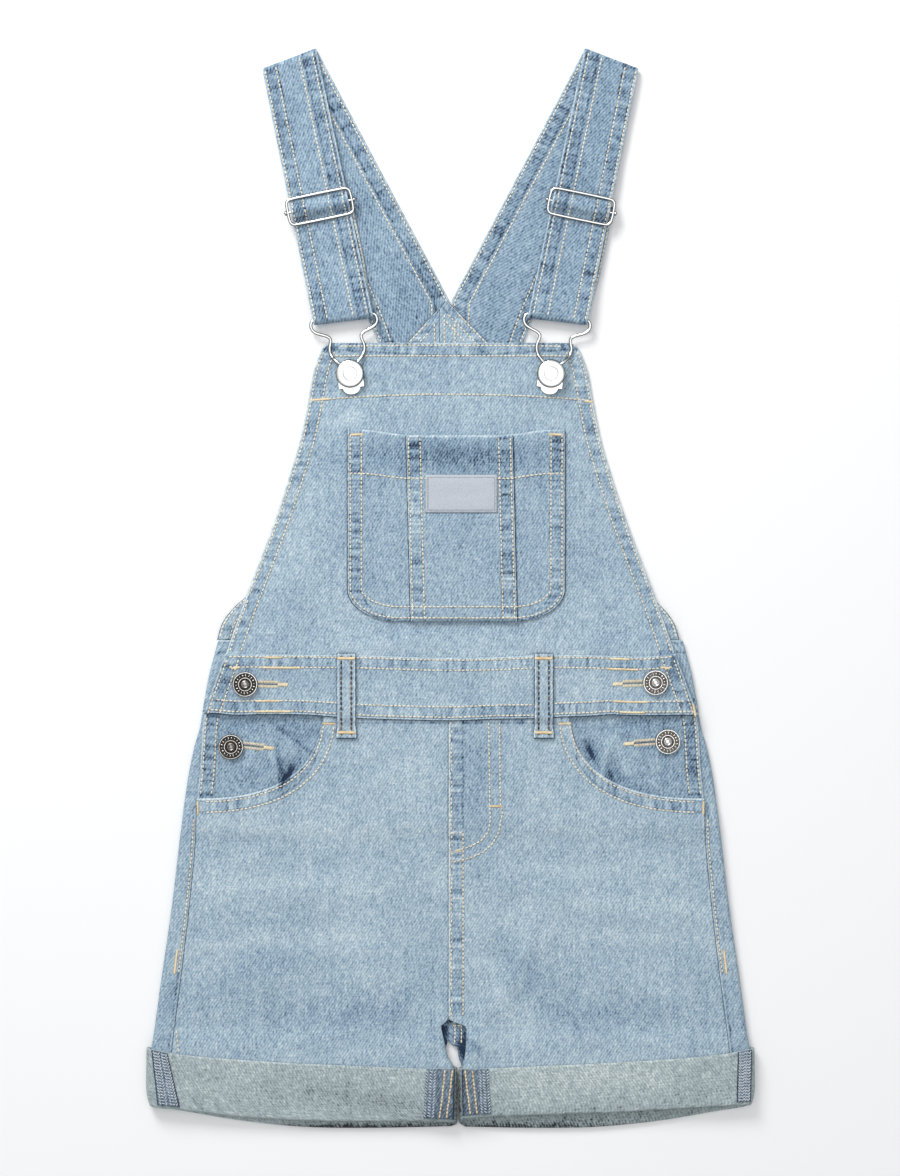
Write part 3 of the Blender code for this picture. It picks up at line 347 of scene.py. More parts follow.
def lay_cloth(name, shape, across, along, hems="", thick=CLOTH_SHOWN, rise=HEM_RISE, pressed=0.0,
              grain="plan", ring=False, uncut=None, folds="", shade_sides="", fades_and_shade=FADES_AND_SHADE):
    """A wall of cloth on the middle surface shape(u, v). Its stitched hems, its plain folds and the
    sides along which a dark line of painted shade is drawn are among its left, right, top and
    bottom sides. Each point keeps how far it is from them, how faded it is and how much shade is
    painted on it, and its place on the uncut cloth."""
    bpy.ops.object.select_all(action="DESELECT")
    columns, lines = len(across), len(along)
    bpy.ops.mesh.primitive_grid_add(x_subdivisions=columns - 1, y_subdivisions=lines - 1, size=2)
    sheet = bpy.context.object
    sheet.name = name + "_cloth"
    mesh = sheet.data
    flat = np.zeros(len(mesh.vertices) * 3)
    mesh.vertices.foreach_get("co", flat)
    flat = flat.reshape(-1, 3)
    column = np.rint((flat[:, 0] + 1) / 2 * (columns - 1)).astype(int)
    line = np.rint((flat[:, 1] + 1) / 2 * (lines - 1)).astype(int)
    place = np.array([[shape(u, v) for u in across] for v in along], float)
    # Distances along and across the cloth
    reach = np.diff(place, axis=1)
    if grain == "plan":
        reach[:, :, 1] = 0
    from_left = np.zeros((lines, columns))
    from_left[:, 1:] = np.cumsum(np.linalg.norm(reach, axis=2), axis=1)
    from_top = np.zeros((lines, columns))
    from_top[1:] = np.cumsum(np.linalg.norm(np.diff(place, axis=0), axis=2), axis=0)
    from_right = from_left[:, -1:] - from_left
    from_bottom = from_top[-1:] - from_top
    far = np.full((lines, columns), FAR)
    sides = {"L": from_left, "R": from_right, "T": from_top, "B": from_bottom}
    side = np.minimum.reduce([far] + [sides[letter] for letter in hems if letter in "LR"])
    end = np.minimum.reduce([far] + [sides[letter] for letter in hems if letter in "TB"])
    # Distance to the sides along which a dark line of painted shade is drawn
    lip = np.minimum.reduce([far] + [sides[letter] for letter in shade_sides])
    rim = np.minimum.reduce([side, end] + [sides[letter] for letter in folds])
    ends = [from_top, from_bottom] + ([] if ring else [from_left, from_right])
    edge = np.minimum.reduce(ends)
    # A hem is thicker, and the very edge is rounded off
    ease = np.clip((HEM_WIDTH - rim) / 2.5, 0, 1)
    extra = rise * ease * ease * (3 - 2 * ease)
    wall = (thick + extra) * (0.45 + 0.55 * np.sqrt(np.clip(edge / 0.9, 0, 1)))
    place[:, :, 2] += extra / 2
    press = np.clip(1 - edge / 6, 0, 1)
    place[:, :, 2] -= pressed * press * press
    # The uncut cloth, turned so that its twill slants one way on every outer face
    middle = columns // 2
    run = math.copysign(1, place[lines // 2, -1, 0] - place[lines // 2, -6, 0])
    cut_across = run * (from_left - from_left[:, middle:middle + 1]) + place[:, middle:middle + 1, 0]
    cut_along = place[:, :, 1] if grain == "plan" else -from_top
    if grain == "length":
        cut_across = -run * from_left
    if uncut:
        spread = np.array([[uncut(u, v) for u in across] for v in along], float)
        cut_across, cut_along = np.moveaxis(spread, 2, 0)
    # How faded each point is, together with the painted shade of the listed spots
    fade = np.array([[spots_at(fades_and_shade, x, up) for x, up, _ in row] for row in place])
    mesh.vertices.foreach_set("co", (place[line, column] * MM).ravel())
    for label, values in (("side", side), ("end", end), ("rim", rim), ("lip", lip), ("fade", fade)):
        kept = mesh.attributes.new(label, "FLOAT", "POINT")
        kept.data.foreach_set("value", values[line, column].astype(np.float32))
    cut = mesh.uv_layers[0]
    cut.name = "cut"
    corner = np.zeros(len(mesh.loops), int)
    mesh.loops.foreach_get("vertex_index", corner)
    spots = np.stack([cut_across[line, column][corner], cut_along[line, column][corner]], 1)
    cut.data.foreach_set("uv", (spots * MM).ravel())
    weights = (wall / wall.max())[line, column]
    group = sheet.vertex_groups.new(name="wall")
    for index, weight in enumerate(weights):
        group.add([index], float(weight), "REPLACE")
    if ring:
        bpy.ops.object.mode_set(mode="EDIT")
        bpy.ops.mesh.select_all(action="SELECT")
        bpy.ops.mesh.remove_doubles(threshold=0.01 * MM)
        bpy.ops.object.mode_set(mode="OBJECT")
    solid = sheet.modifiers.new("wall", "SOLIDIFY")
    solid.thickness = wall.max() * MM
    solid.offset = 0
    solid.vertex_group = "wall"
    solid.use_even_offset = True
    bpy.ops.object.modifier_apply(modifier="wall")
    sheet.vertex_groups.clear()
    bpy.ops.object.shade_smooth()
    return sheet


# Washed denim from its darkest to its most faded
WASH = (
    (0, (0.02, 0.04, 0.08)),
    (0.33, (0.21, 0.31, 0.42)),
    (0.66, (0.42, 0.535, 0.61)),
    (1, (0.72, 0.79, 0.81)),
)
TWILL_PITCH = 1.75


def denim(name, tone, side_rows=(), end_rows=(), colours=WASH, seed=0.0, puckers=0.7, worn=1.0,
          crinkle=0.2):
    """Washed denim. It puckers between its hems' rows of stitches, in light and dark patches that are partly
    wash and partly painted shade, and its edges are worn pale.
    """
    made, shader, add = material(name, 0.86)
    shader.inputs["Specular IOR Level"].default_value = 0.2
    shader.inputs["Sheen Weight"].default_value = 0.06
    shader.inputs["Sheen Roughness"].default_value = 0.5
    cut = add.add("ShaderNodeUVMap", {"uv_map": "cut"})
    # The weave: slubs down the warp, picks across it, and the slanting lines of the twill
    slub = cut.scaled(1.35 * MM, 5 * MM, seed).noise(1) - 0.5
    weft = cut.scaled(6 * MM, 1.1 * MM, seed).noise(1) - 0.5
    grain = cut.scaled(1.5 * MM, 1.5 * MM, seed).noise(1) - 0.5
    fleck = cut.scaled(2.6 * MM, 3.4 * MM, seed).noise(2) - 0.5
    steep = (0.84 / (TWILL_PITCH * MM), -0.54 / (TWILL_PITCH * MM), 0)
    slant = cut.add("ShaderNodeVectorMath", {"operation": "DOT_PRODUCT"}, {0: cut, 1: steep}, 1)
    angle = (slant + fleck * 0.45) * math.tau
    twill = angle.maths("SINE", angle)
    # The wash: streaks down the cloth, and patches of more and less fading. The listed spots add fading, and
    # painted shade in folds and hollows
    streak = cut.scaled(5 * MM, 42 * MM, seed).noise(2) - 0.5
    mottle = cut.scaled(8 * MM, 10 * MM, seed).noise(3) - 0.5
    cloud = cut.scaled(42 * MM, 34 * MM, seed).noise(2) - 0.5
    fade = add.attribute("fade")
    value = twill * 0.10 + slub * 0.46 + weft * crinkle + grain * 0.48 + fleck * 0.18
    value = value + streak * 0.16 + mottle * 0.17 + cloud * 0.22 + fade + tone
    height = grain * 0.05 + fleck * 0.12 + mottle * 0.6
    # Hems: puckers between the rows in light and dark patches, partly wash and partly painted shade, on a
    # slightly darker band
    side = add.attribute("side")
    end = add.attribute("end")
    across_side, across_end = (60 * MM, 3.5 * MM), (3.5 * MM, 60 * MM)
    for near, along, rows in ((side, across_side, side_rows), (end, across_end, end_rows)):
        if rows:
            band = near.between(0.7, 1.9) * near.between(max(rows) + 1.6, max(rows) - 0.8)
            ripple = (cut.scaled(*along, seed + 3).noise(1.5) - 0.5) * band * puckers
            value = value + ripple * 1.0 - band * 0.06
            height = height + ripple * 1.2
        # Each row sinks a groove in the cloth, darkened with painted shade
        for row in rows:
            sunk = (near - row).maths("ABSOLUTE", near - row).between(1.1, 0.3)
            value = value - sunk * 0.13
            height = height - sunk * 0.22
    rim = add.attribute("rim")
    rim = rim.between(1.7, 0.8) * (fleck * 1.4 + 0.95) * worn
    # A dark line of painted shade along the edges that stand above what lies beneath them
    under = add.attribute("lip").between(0.75, 0.35) * 0.75
    plug(
        shader,
        Base_Color=(value + rim * 0.24 - under).ramp(*colours),
        Normal=add.bump(height),
    )
    return made


def finish_sheet(sheet, look, node):
    """Gives a cloth piece its material and its body, and hides the solid that it stands for."""
    sheet.data.materials.append(look)
    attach(sheet, "root")
    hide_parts(node)


INNER_FOLDS = {
    (FRONT_CROTCH, -1): curve_through((-283, -6.8), (-298, -3.4), (-306, -1.4), (-311, 2.2)),
    (FRONT_CROTCH, 1): curve_through((-283, 10.6), (-302, 9.8), (-311, 7.6)),
    (BACK_CROTCH, -1): curve_through((-298, -3.4), (-306, -1.4), (-311, 2.2)),
    (BACK_CROTCH, 1): curve_through((-298, 5.0), (-305, 5.4), (-311, 7.6)),
}


def inner_edge(side, up, crotch):
    """Where a panel ends at the middle: at the centre seam, or at the leg's inner fold below it."""
    at_seam = CENTRE_SEAM + side * SEAM_GAP / 2
    return mix(at_seam, INNER_FOLDS[crotch, side](up), smooth((crotch - up) / CROTCH_ROUND))


def inner_curl(side, angle, up, crotch, low, high, rising):
    """The half of the inner fold that one panel makes. Above the crotch it lies flat."""
    radius = (high - low) / 2
    curl = smooth((crotch - 2.5 - up) / 10)
    x = inner_edge(side, up, crotch) + side * radius * (1 - math.sin(angle))
    z = radius * (1 - math.cos(angle)) * curl
    return (x, low + z) if rising else (x, high - z)


def back_path(side, w, up, inner, flap_end, low, high):
    """w runs 1 to 2 along the floor, 2 to 3 round the side fold, and 3 to 4 in over the flap."""
    fold = side * (fold_half(up) - CLOTH / 2)
    radius = (high - low) / 2
    if w <= 2:
        return mix(inner, fold - side * radius, w - 1), low
    if w <= 3:
        turn = math.pi * (w - 2)
        return fold - side * radius * (1 - math.sin(turn)), low + radius * (1 - math.cos(turn))
    return mix(fold - side * radius, flap_end, w - 3), high


def under_front(side, up):
    """The middle height of a flap that lies under the front's lowest layer."""
    return rest(side * front_half(up), up) - SEAM_GAP - CLOTH / 2


def leg_low(up):
    return CLOTH / 2 + CUFF_STEP * smooth((-286 - up) / 11)


def back_leg_shape(side):
    def shape(w, up):
        low = leg_low(up)
        seam_edge = side * front_half(up)
        on_top = rest(seam_edge, up) + CLOTH / 2
        high = mix(on_top, under_front(side, up), smooth((up - HIP_OPENING_END + 14) / 9))
        tuck = 10 * smooth((up - HIP_OPENING_END + 6) / 6)
        flap_end = seam_edge + side * SEAM_GAP / 2 - side * tuck
        inner_high = rest(inner_edge(side, up, BACK_CROTCH), up) + CLOTH / 2
        if w <= 1:
            x, z = inner_curl(side, INNER_TURN * (1 - w), up, BACK_CROTCH, low, inner_high, True)
            return x, up, z
        inner, _ = inner_curl(side, 0, up, BACK_CROTCH, low, inner_high, True)
        x, z = back_path(side, w, up, inner, flap_end, low, high)
        on_floor = smooth((w - 1) / 0.12) * smooth((2 - w) / 0.08) * smooth((up + 292) / 12)
        return x, up, z + lifted(x, up) * on_floor

    return shape


OUTSEAM_INSET = 1.9


def flap_place(x, up):
    return x, up, rest(math.copysign(front_half(up), x), up) + CLOTH / 2


def stitch_cloth(name, place, rows, look, pitch=2.75, long=2.6, thick=1.1, turn=0.0, lift=None, seed=1):
    """Stitches along rows on a piece. place(a, b) gives its middle surface, and lift is how far the
    thread lies from that. Each stitch is a copy of one small bead of thread."""
    lift = CLOTH_SHOWN / 2 + HEM_RISE if lift is None else lift
    bpy.ops.object.select_all(action="DESELECT")
    bpy.ops.mesh.primitive_uv_sphere_add(segments=6, ring_count=4, radius=0.5)
    bead = bpy.context.object
    bead.data.transform(Matrix.Rotation(math.pi / 2, 4, "Y"))
    spots = np.array([v.co for v in bead.data.vertices])
    faces = [tuple(f.vertices) for f in bead.data.polygons]
    unit = spots * (long, thick, thick * 0.6)
    tips = 2 * np.abs(spots[:, 0])
    bpy.data.objects.remove(bead)
    rng = random.Random(seed)
    points, polygons = [], []
    for row in rows:
        path, facing = [], None
        for (a0, b0), (a1, b1) in zip(row, row[1:]):
            start, stop = Vector(place(a0, b0)), Vector(place(a1, b1))
            count = max(1, math.ceil((stop - start).length / 0.9))
            for k in range(count if (a1, b1) != row[-1] else count + 1):
                a, b = mix(a0, a1, k / count), mix(b0, b1, k / count)
                path.append((a, b, Vector(place(a, b))))
        lengths = [0.0]
        for before, after in zip(path, path[1:]):
            lengths.append(lengths[-1] + (after[2] - before[2]).length)
        count = max(1, round(lengths[-1] / pitch))
        for k in range(count):
            at = (k + 0.5) / count * lengths[-1]
            step = min(bisect_right(lengths, at), len(path) - 1)
            before, after = path[step - 1], path[step]
            share = (at - lengths[step - 1]) / max(lengths[step] - lengths[step - 1], 1e-9)
            a, b = mix(before[0], after[0], share), mix(before[1], after[1], share)
            here = before[2].lerp(after[2], share)
            way = (after[2] - before[2]).normalized()
            small_a = 1e-3 if abs(a) < 8 else 0.2
            small_b = 1e-3 if abs(b) < 8 else 0.2
            out = (Vector(place(a + small_a, b)) - here).cross(Vector(place(a, b + small_b)) - here)
            if out.length < 1e-12:
                continue
            out.normalize()
            if facing is None:
                facing = math.copysign(1, out.z * lift) if abs(out.z) > 0.1 else 1
            out *= facing
            spin = math.radians(turn + rng.uniform(-5, 5))
            across = out.cross(way)
            ahead = way * math.cos(spin) + across * math.sin(spin)
            across = out.cross(ahead)
            centre = here + out * abs(lift) + across * rng.uniform(-0.07, 0.07)
            base = len(points) * len(unit)
            grown = unit * rng.uniform(0.93, 1.05)
            points.append(np.array(centre) + grown @ np.array([ahead, across, out]))
            polygons += [tuple(base + index for index in face) for face in faces]
    mesh = bpy.data.meshes.new(name)
    mesh.from_pydata((np.concatenate(points) * MM).tolist(), [], polygons)
    mesh.polygons.foreach_set("use_smooth", [True] * len(polygons))
    tip = mesh.attributes.new("tip", "FLOAT", "POINT")
    tip.data.foreach_set("value", np.tile(tips, len(points)).astype(np.float32))
    made = bpy.data.objects.new(name, mesh)
    bpy.context.scene.collection.objects.link(made)
    mesh.materials.append(look)
    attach(made, "root")
    return made


def join(pieces):
    """Joins pieces into the first of them."""
    bpy.ops.object.select_all(action="DESELECT")
    for piece in pieces:
        piece.select_set(True)
    bpy.context.view_layer.objects.active = pieces[0]
    bpy.ops.object.join()
    return bpy.context.object


def thread(name, pale, deep):
    """Twisted sewing thread, washed pale, and deeper where each stitch dips into the cloth. On the pale
    threads that darker colour at each stitch's ends is painted shade.
    """
    made, shader, add = material(name, 0.6)
    spot = add.own_place()
    tip = add.attribute("tip")
    fade = spot.scaled(6 * MM, 6 * MM).noise(2, space="3D") - 0.5
    twist = spot.scaled(0.3 * MM, 0.3 * MM).noise(0, space="3D")
    # Painted shade at each stitch's ends, where the thread sinks into the cloth; the dark thread's ends turn
    # brown instead
    dipped = tip.between(0.6, 1.0) * 0.9
    plug(
        shader,
        Base_Color=(dipped - fade * 1.1 - twist * 0.25 + 0.2).ramp((0, pale), (0.7, deep)),
        Normal=add.bump(twist, 0.1, 0.5),
    )
    return made


tan_thread = thread("tan_thread", (0.88, 0.83, 0.68), (0.42, 0.30, 0.16))
gold_thread = thread("gold_thread", (0.90, 0.74, 0.46), (0.55, 0.34, 0.13))
UNDERSIDE = -0.62
# The shade inside the opening at the crotch
CROTCH_SHADE = [(-5, -289, 10, 2.6, -0.7, 104), (3, -281.6, 9, 1.8, -0.6, 0), (2, -291, 9, 9, -0.14, 90),
                (8.4, -299, 8, 3.0, -0.9, 98)]
leg_back_denim = denim("leg_back_denim", 0.50, side_rows=(1.8,), seed=1.0, worn=0.5)

for label, side in SIDES.items():
    shape = back_leg_shape(side)
    around = [0, 0.35, 0.7] + steps(1, 2, 84) + steps(2, 3, 10)[1:] + steps(3, 4, 11)[1:]
    heights = [-82.3, -82.7, -83.4] + steps(-85, LEG_END, 118)
    leg = lay_cloth("back_leg_" + label, shape, around, heights, hems="R", rise=0.1,
                    fades_and_shade=FADES_AND_SHADE + CROTCH_SHADE)
    felled = (1.012, 1.048) if side > 0 else (1.012,)
    near_seam = [[(w, up) for up in range(-84, -300, -8)] for w in felled]
    band_side = [[(w, -84.6) for w in steps(1.02, 1.99, 30)]]
    stitches = stitch_cloth("back_leg_stitches_" + label, shape, near_seam + band_side, tan_thread,
                            lift=UNDERSIDE)
    flap = [(side * (front_half(up) + OUTSEAM_INSET), up) for up in steps(-150, -250, 20)]
    outseam = stitch_cloth("outseam_stitches_" + label, flap_place, [flap], tan_thread)
    if side > 0:
        rows = [[(w, -284), (w, -296)] for w in (1.0115, 1.034)]
        rows += [[(1.002, up), (1.052, up + 0.8)] for up in (-283.2, -285)]
        outseam = join([outseam, stitch_cloth("crotch_stitches", shape, rows, tan_thread, lift=0.6)])
    bar = [[(side * (front_half(up) + 4.6), up) for up in (-235.3, -250.5)]]
    tacked = stitch_cloth("outseam_tack_" + label, flap_place, bar, gold_thread, pitch=0.5, long=1.5, turn=90)
    finish_sheet(leg, leg_back_denim, "back_leg_" + label)

# Back waistband
# A doubled band of denim across the small of the back. Its ends wrap round the sides and reach under
# the front as the button stands.

BUTTON_STAND = 16.0
BACK_BAND_TOP = -34.0
BACK_BAND_FOOT = -82.0
BAND_END_ROWS = (2.2, 9.8)


def back_band_shape(u, up):
    side = 1 if u > 0 else -1
    stand = side * (front_half(up) - BUTTON_STAND)
    x, z = back_path(side, 1 + abs(u), up, CENTRE_SEAM, stand, CLOTH / 2, under_front(side, up))
    return x, up, z + lifted(x, up) * smooth((1 - abs(u)) / 0.1)


half = steps(0, 1, 76)[1:] + steps(1, 2, 10)[1:] + steps(2, 3, 12)[1:]
across = [-u for u in reversed(half)] + [0] + half
heights = [BACK_BAND_TOP, -34.4, -35] + steps(-36, -80, 24) + [-81, -81.6, BACK_BAND_FOOT]
back_band = lay_cloth("back_waistband", back_band_shape, across, heights, hems="TB", rise=0.25)
rows = [[(u, up) for u in steps(-1.6, 1.6, 60)] for up in (-35.8, -42.2, -73.8, -80.2)]
band_denim = denim("waistband_denim", 0.56, BAND_END_ROWS, (1.8, 8.6), seed=4.0, worn=0.6)
outer = stitch_cloth("back_waistband_stitches", back_band_shape, rows, tan_thread, lift=UNDERSIDE)
finish_sheet(back_band, band_denim, "back_waistband")

# Back bib
# Two panels felled together up the middle of the back, narrowing to a point where the straps cross.
# Their slanting edges are turned under and stitched twice.

STRAP_END = 122.0
BACK_BIB_TOP = 186.0
BIB_PEAK = -2.6
BIB_SEAM_LEAN = -7.2
back_bib_half = curve_through(
    (BACK_BIB_TOP, 1.5), (160, 26), (140, 44), (110, 58), (70, 74), (30, 95), (5, 117), (-10, 136.5),
    (-22, 146.5), (-34, 150.4),
)


def back_bib_sides(side, up):
    """The seam and the outer edge of one half of the back bib."""
    peak = mix(CENTRE_SEAM, BIB_PEAK, smooth((up - 140) / 46))
    seam = mix(CENTRE_SEAM, BIB_SEAM_LEAN, smooth((up - 120) / 45))
    seam = max(seam, peak - back_bib_half(up) + 0.8)
    return seam + side * SEAM_GAP / 2, peak + side * back_bib_half(up)


def back_bib_shape(side):
    def shape(u, up):
        x = mix(*back_bib_sides(side, up), u)
        on_straps = 2.1 * smooth((up - STRAP_END) / 18 + 1.4)
        curl = 2.4 * smooth((u - 0.86) / 0.14) * smooth((6 - up) / 26)
        free = lifted(x, up) * smooth((108 - up) / 14) * smooth((up + 34) / 12)
        return x, up, CLOTH / 2 + on_straps + curl + free

    return shape


back_bib_denim = denim("back_bib_denim", 0.53, (1.9, 8.0), seed=7.0)
for label, side in SIDES.items():
    shape = back_bib_shape(side)
    across = [0, 0.006, 0.015] + steps(0.03, 0.97, 60) + [0.982, 0.992, 1]
    heights = [BACK_BIB_TOP, 185.5] + steps(184.6, -33, 112) + [-33.7]
    bib = lay_cloth("back_bib_" + label, shape, across, heights, hems="R", shade_sides="R")
    crossing = ((-2.9, 173.6), (1.5, 168.6), (5.6, 164.1), (9.4, 159.9)) if side > 0 else ()
    heights = list(range(178, -34, -6))
    seams, widths = {}, {}
    for up in heights + [up for _, up in crossing]:
        seams[up], edge = back_bib_sides(side, up)
        widths[up] = abs(edge - seams[up])
    edges = [[(1 - inset / widths[up], up) for up in heights if widths[up] > inset + 3]
             for inset in (1.6, 8.0)]
    centre = [[(3.0 / widths[up], up) for up in heights if widths[up] > 9]]
    if crossing:
        centre += [[(9.8 / widths[up], up) for up in heights if widths[up] > 16]]
        centre += [[((x - seams[up]) / widths[up], up) for x, up in crossing]]
    upper = stitch_cloth("back_bib_stitches_" + label, shape, edges + centre, tan_thread)
    lower = stitch_cloth("back_bib_outer_stitches_" + label, shape, edges + centre, tan_thread,
                         lift=-0.48)
    finish_sheet(bib, back_bib_denim, "back_bib_" + label)

# Straps
# Each strap is a long denim tube pressed flat and edge-stitched. It comes up the back, folds over at
# the shoulder, passes over the slider's bar, and turns round the buckle's bar and back to the slider.

STRAP_CLOTH = 1.8
STRAP_FOLD = (Vector((-122.5, 338.0)), Vector((-87.4, 351.4)))
STRAP_FOOT = (Vector((-88.7, 170.6)), Vector((-49.9, 175.2)))
STRAP_BACK = (Vector((-31.0, STRAP_END)), Vector((-0.75, STRAP_END)))
STRAP_V = Vector((-0.75, 187.0))
V_SHARE = 0.27
FOLD_TURN = 1.6
FOOT_TURN = 2.4
STRAP_BEHIND = 3.05
SLIDER_AT = 99.0
SLIDER_HALF = 8.4
SLIDER_WIRE = 0.95
SLIDER_HEIGHT = 7.3
STRAP_FLAT = 5.2
FOLD_INSET = FOLD_TURN + STRAP_CLOTH / 2
strap_rise = curve_through(
    (0, 4.1), (60, 4.4), (80, STRAP_FLAT), (125, STRAP_FLAT), (146, 5.7), (165, 7.85), (176, 7.85),
)
strap_start = (STRAP_FOLD[0] + STRAP_FOLD[1]) / 2
strap_way = ((STRAP_FOOT[0] + STRAP_FOOT[1]) / 2 - strap_start).normalized()
strap_length = ((STRAP_FOOT[0] + STRAP_FOOT[1]) / 2 - strap_start).length
FOOT_AT = strap_length - FOOT_TURN - STRAP_CLOTH / 2


def strap_hump(distance):
    """The strap climbs over the slider's middle bar."""
    off = min(1.0, abs(distance - SLIDER_AT) / (SLIDER_HALF - SLIDER_WIRE))
    over_bar = SLIDER_HEIGHT + SLIDER_WIRE + SEAM_GAP + STRAP_CLOTH / 2 - STRAP_FLAT
    return over_bar * (0.5 + 0.5 * math.cos(math.pi * off))


def strap_front_plan(u, distance):
    """The strap's front in plan. Its rows turn from square across to the lines of its two folds."""
    fold = STRAP_FOLD[0].lerp(STRAP_FOLD[1], u)
    foot = STRAP_FOOT[0].lerp(STRAP_FOOT[1], u)
    at_fold = (fold - strap_start).dot(strap_way)
    at_foot = (foot - strap_start).dot(strap_way) - strap_length
    near_fold = smooth(1 - (distance - FOLD_INSET) / 55)
    near_foot = smooth(1 - (FOOT_AT - distance) / 30)
    reach = distance + at_fold * near_fold + at_foot * near_foot
    return fold + (foot - fold) * (reach - at_fold) / (foot - fold).dot(strap_way)


def strap_shape(side):
    across_fold = (STRAP_FOLD[1] - STRAP_FOLD[0]).normalized()
    past_fold = Vector((-across_fold.y, across_fold.x))

    def shape(u, v):
        fold = STRAP_FOLD[0].lerp(STRAP_FOLD[1], u) - past_fold * FOLD_INSET
        if v <= 1:
            outer = STRAP_BACK[0].lerp(STRAP_FOLD[0] - past_fold * FOLD_INSET, v)
            inner = STRAP_BACK[1].lerp(STRAP_V, v / V_SHARE)
            if v > V_SHARE:
                shoulder = STRAP_FOLD[1] - past_fold * FOLD_INSET
                inner = STRAP_V.lerp(shoulder, (v - V_SHARE) / (1 - V_SHARE))
            plan, z = outer.lerp(inner, u), STRAP_CLOTH / 2
        elif v <= 2:
            turn = math.pi * (v - 1)
            plan = fold + past_fold * FOLD_TURN * math.sin(turn)
            z = STRAP_CLOTH / 2 + FOLD_TURN * (1 - math.cos(turn))
        elif v <= 3:
            distance = mix(FOLD_INSET, FOOT_AT, v - 2)
            plan = strap_front_plan(u, distance)
            z = strap_rise(distance) + strap_hump(distance)
            calm = smooth((v - 2) / 0.1) * smooth((3 - v) / 0.1)
            z += calm * (crumple(plan.x, plan.y, 20.0 + side, 16, 0.35) + 0.1)
        elif v <= 4:
            turn = math.pi * (v - 3)
            plan = strap_front_plan(u, FOOT_AT + FOOT_TURN * math.sin(turn))
            z = STRAP_BEHIND + FOOT_TURN * (1 + math.cos(turn))
        else:
            strayed = -side * 0.05 * smooth(2 * (v - 4))
            plan = strap_front_plan(u + strayed, mix(FOOT_AT, SLIDER_AT - SLIDER_HALF / 2, v - 4))
            z = STRAP_BEHIND
        return -side * plan.x, plan.y, z

    return shape


def strap_uncut(side):
    """The place on the uncut strap, across it and up along it as it is seen."""
    shape = strap_shape(side)
    back_way = (STRAP_FOLD[1] - STRAP_V).normalized()

    def uncut(u, v):
        x, up, _ = shape(u, v)
        plan = Vector((-side * x, up))
        way = back_way if v <= 1.5 else -strap_way
        return -side * plan.dot(Vector((way.y, -way.x))), plan.dot(way)

    return uncut


def back_strap_rows(insets):
    """Rows along the strap's back stretch, each at its inset from the nearer edge."""
    rows = []
    for from_outer, inset in insets:
        row = []
        for v in steps(0.14, 1.0, 36):
            outer = STRAP_BACK[0].lerp(STRAP_FOLD[0], v)
            inner = STRAP_V.lerp(STRAP_FOLD[1], max(0, v - V_SHARE) / (1 - V_SHARE))
            width = 0.89 * (inner - outer).length
            row.append((inset / width if from_outer else 1 - inset / width, v))
        rows.append(row)
    return rows


STRAP_ROWS = (0.045, 0.24, 0.675, 0.915)
strap_denim = denim("strap_denim", 0.39, (1.8, 9.2), seed=11.0, puckers=0.55)
for label, side in SIDES.items():
    shape = strap_shape(side)
    across = [0, 0.01, 0.026] + steps(0.05, 0.95, 20) + [0.974, 0.99, 1]
    along = steps(0, 1, 110) + steps(1, 2, 12)[1:] + steps(2, 3, 110)[1:] + steps(3, 4, 12)[1:]
    along += steps(4, 5, 40)[1:]
    strap = lay_cloth("strap_" + label, shape, across, along, hems="LR", thick=1.5, rise=0.15,
                      uncut=strap_uncut(side))
    front = [[(u, v) for v in steps(2.0, 3.0, 60)] for u in STRAP_ROWS]
    front += [[(0.5 - side * 0.472, v) for v in steps(4.2, 4.9, 30)]]
    back = back_strap_rows(((True, 1.8), (True, 8.2), (False, 1.8), (False, 10.4)))
    stitches = []
    for part, rows, lift in (("", front, 0.86), ("back_", back, 0.86), ("under_", back, -0.86)):
        stitches.append(stitch_cloth(f"strap_{part}stitches_{label}", shape, rows, tan_thread, lift=lift))
    finish_sheet(strap, strap_denim, "strap_" + label)

# Hip facings
# The denim piece behind each pocket mouth. It carries the hip buttonhole, and its outer edge is
# stitched twice, over the button stand.

LEG_TOP = -79.0
MOUTH_START = {-1: 84.2, 1: 79.6}
MOUTH_DEPTH = 57.6
MOUTH_POWER = 2.45
FACING_LAP = 11.0
FACING_ROWS = (2.2, 9.4)


def mouth_span(side):
    return front_half(HIP_OPENING_END) - MOUTH_START[side]


def mouth(side, out):
    """The pocket mouth: the height of the front leg's upper edge at a distance from the middle."""
    if out <= MOUTH_START[side]:
        return LEG_TOP
    left = max(0.0, 1 - (out - MOUTH_START[side]) / mouth_span(side))
    return LEG_TOP - MOUTH_DEPTH * (1 - left**MOUTH_POWER) ** (1 / MOUTH_POWER)


# The facing bags between the hip button and the mouth: ridges, hollows and pulls, as CREASES gives them
FACING_FOLDS = [
    (-114, -112, 17, 3.2, 1.8, 100), (-105.5, -119, 12, 5.4, -3.0, 58), (-99, -104, 15, 2.4, -0.7, -40),
    (-107, -96, 14, 2.2, -0.6, -14), (-124, -88, 20, 2.6, -0.6, 6), (-131, -118, 18, 2.6, 0.6, 70),
    (-150, -118, 20, 3.0, -0.6, 84), (100.5, -112, 18, 3.4, 1.5, 78), (91.5, -106, 9, 4.6, -2.4, 110),
    (106, -119, 11, 5.2, -2.4, 128), (112, -90, 18, 2.4, -0.7, 10), (124, -110, 18, 2.6, 0.7, 100),
    (132, -122, 24, 2.6, -0.7, 12), (148, -112, 18, 3.0, 0.5, 92),
]
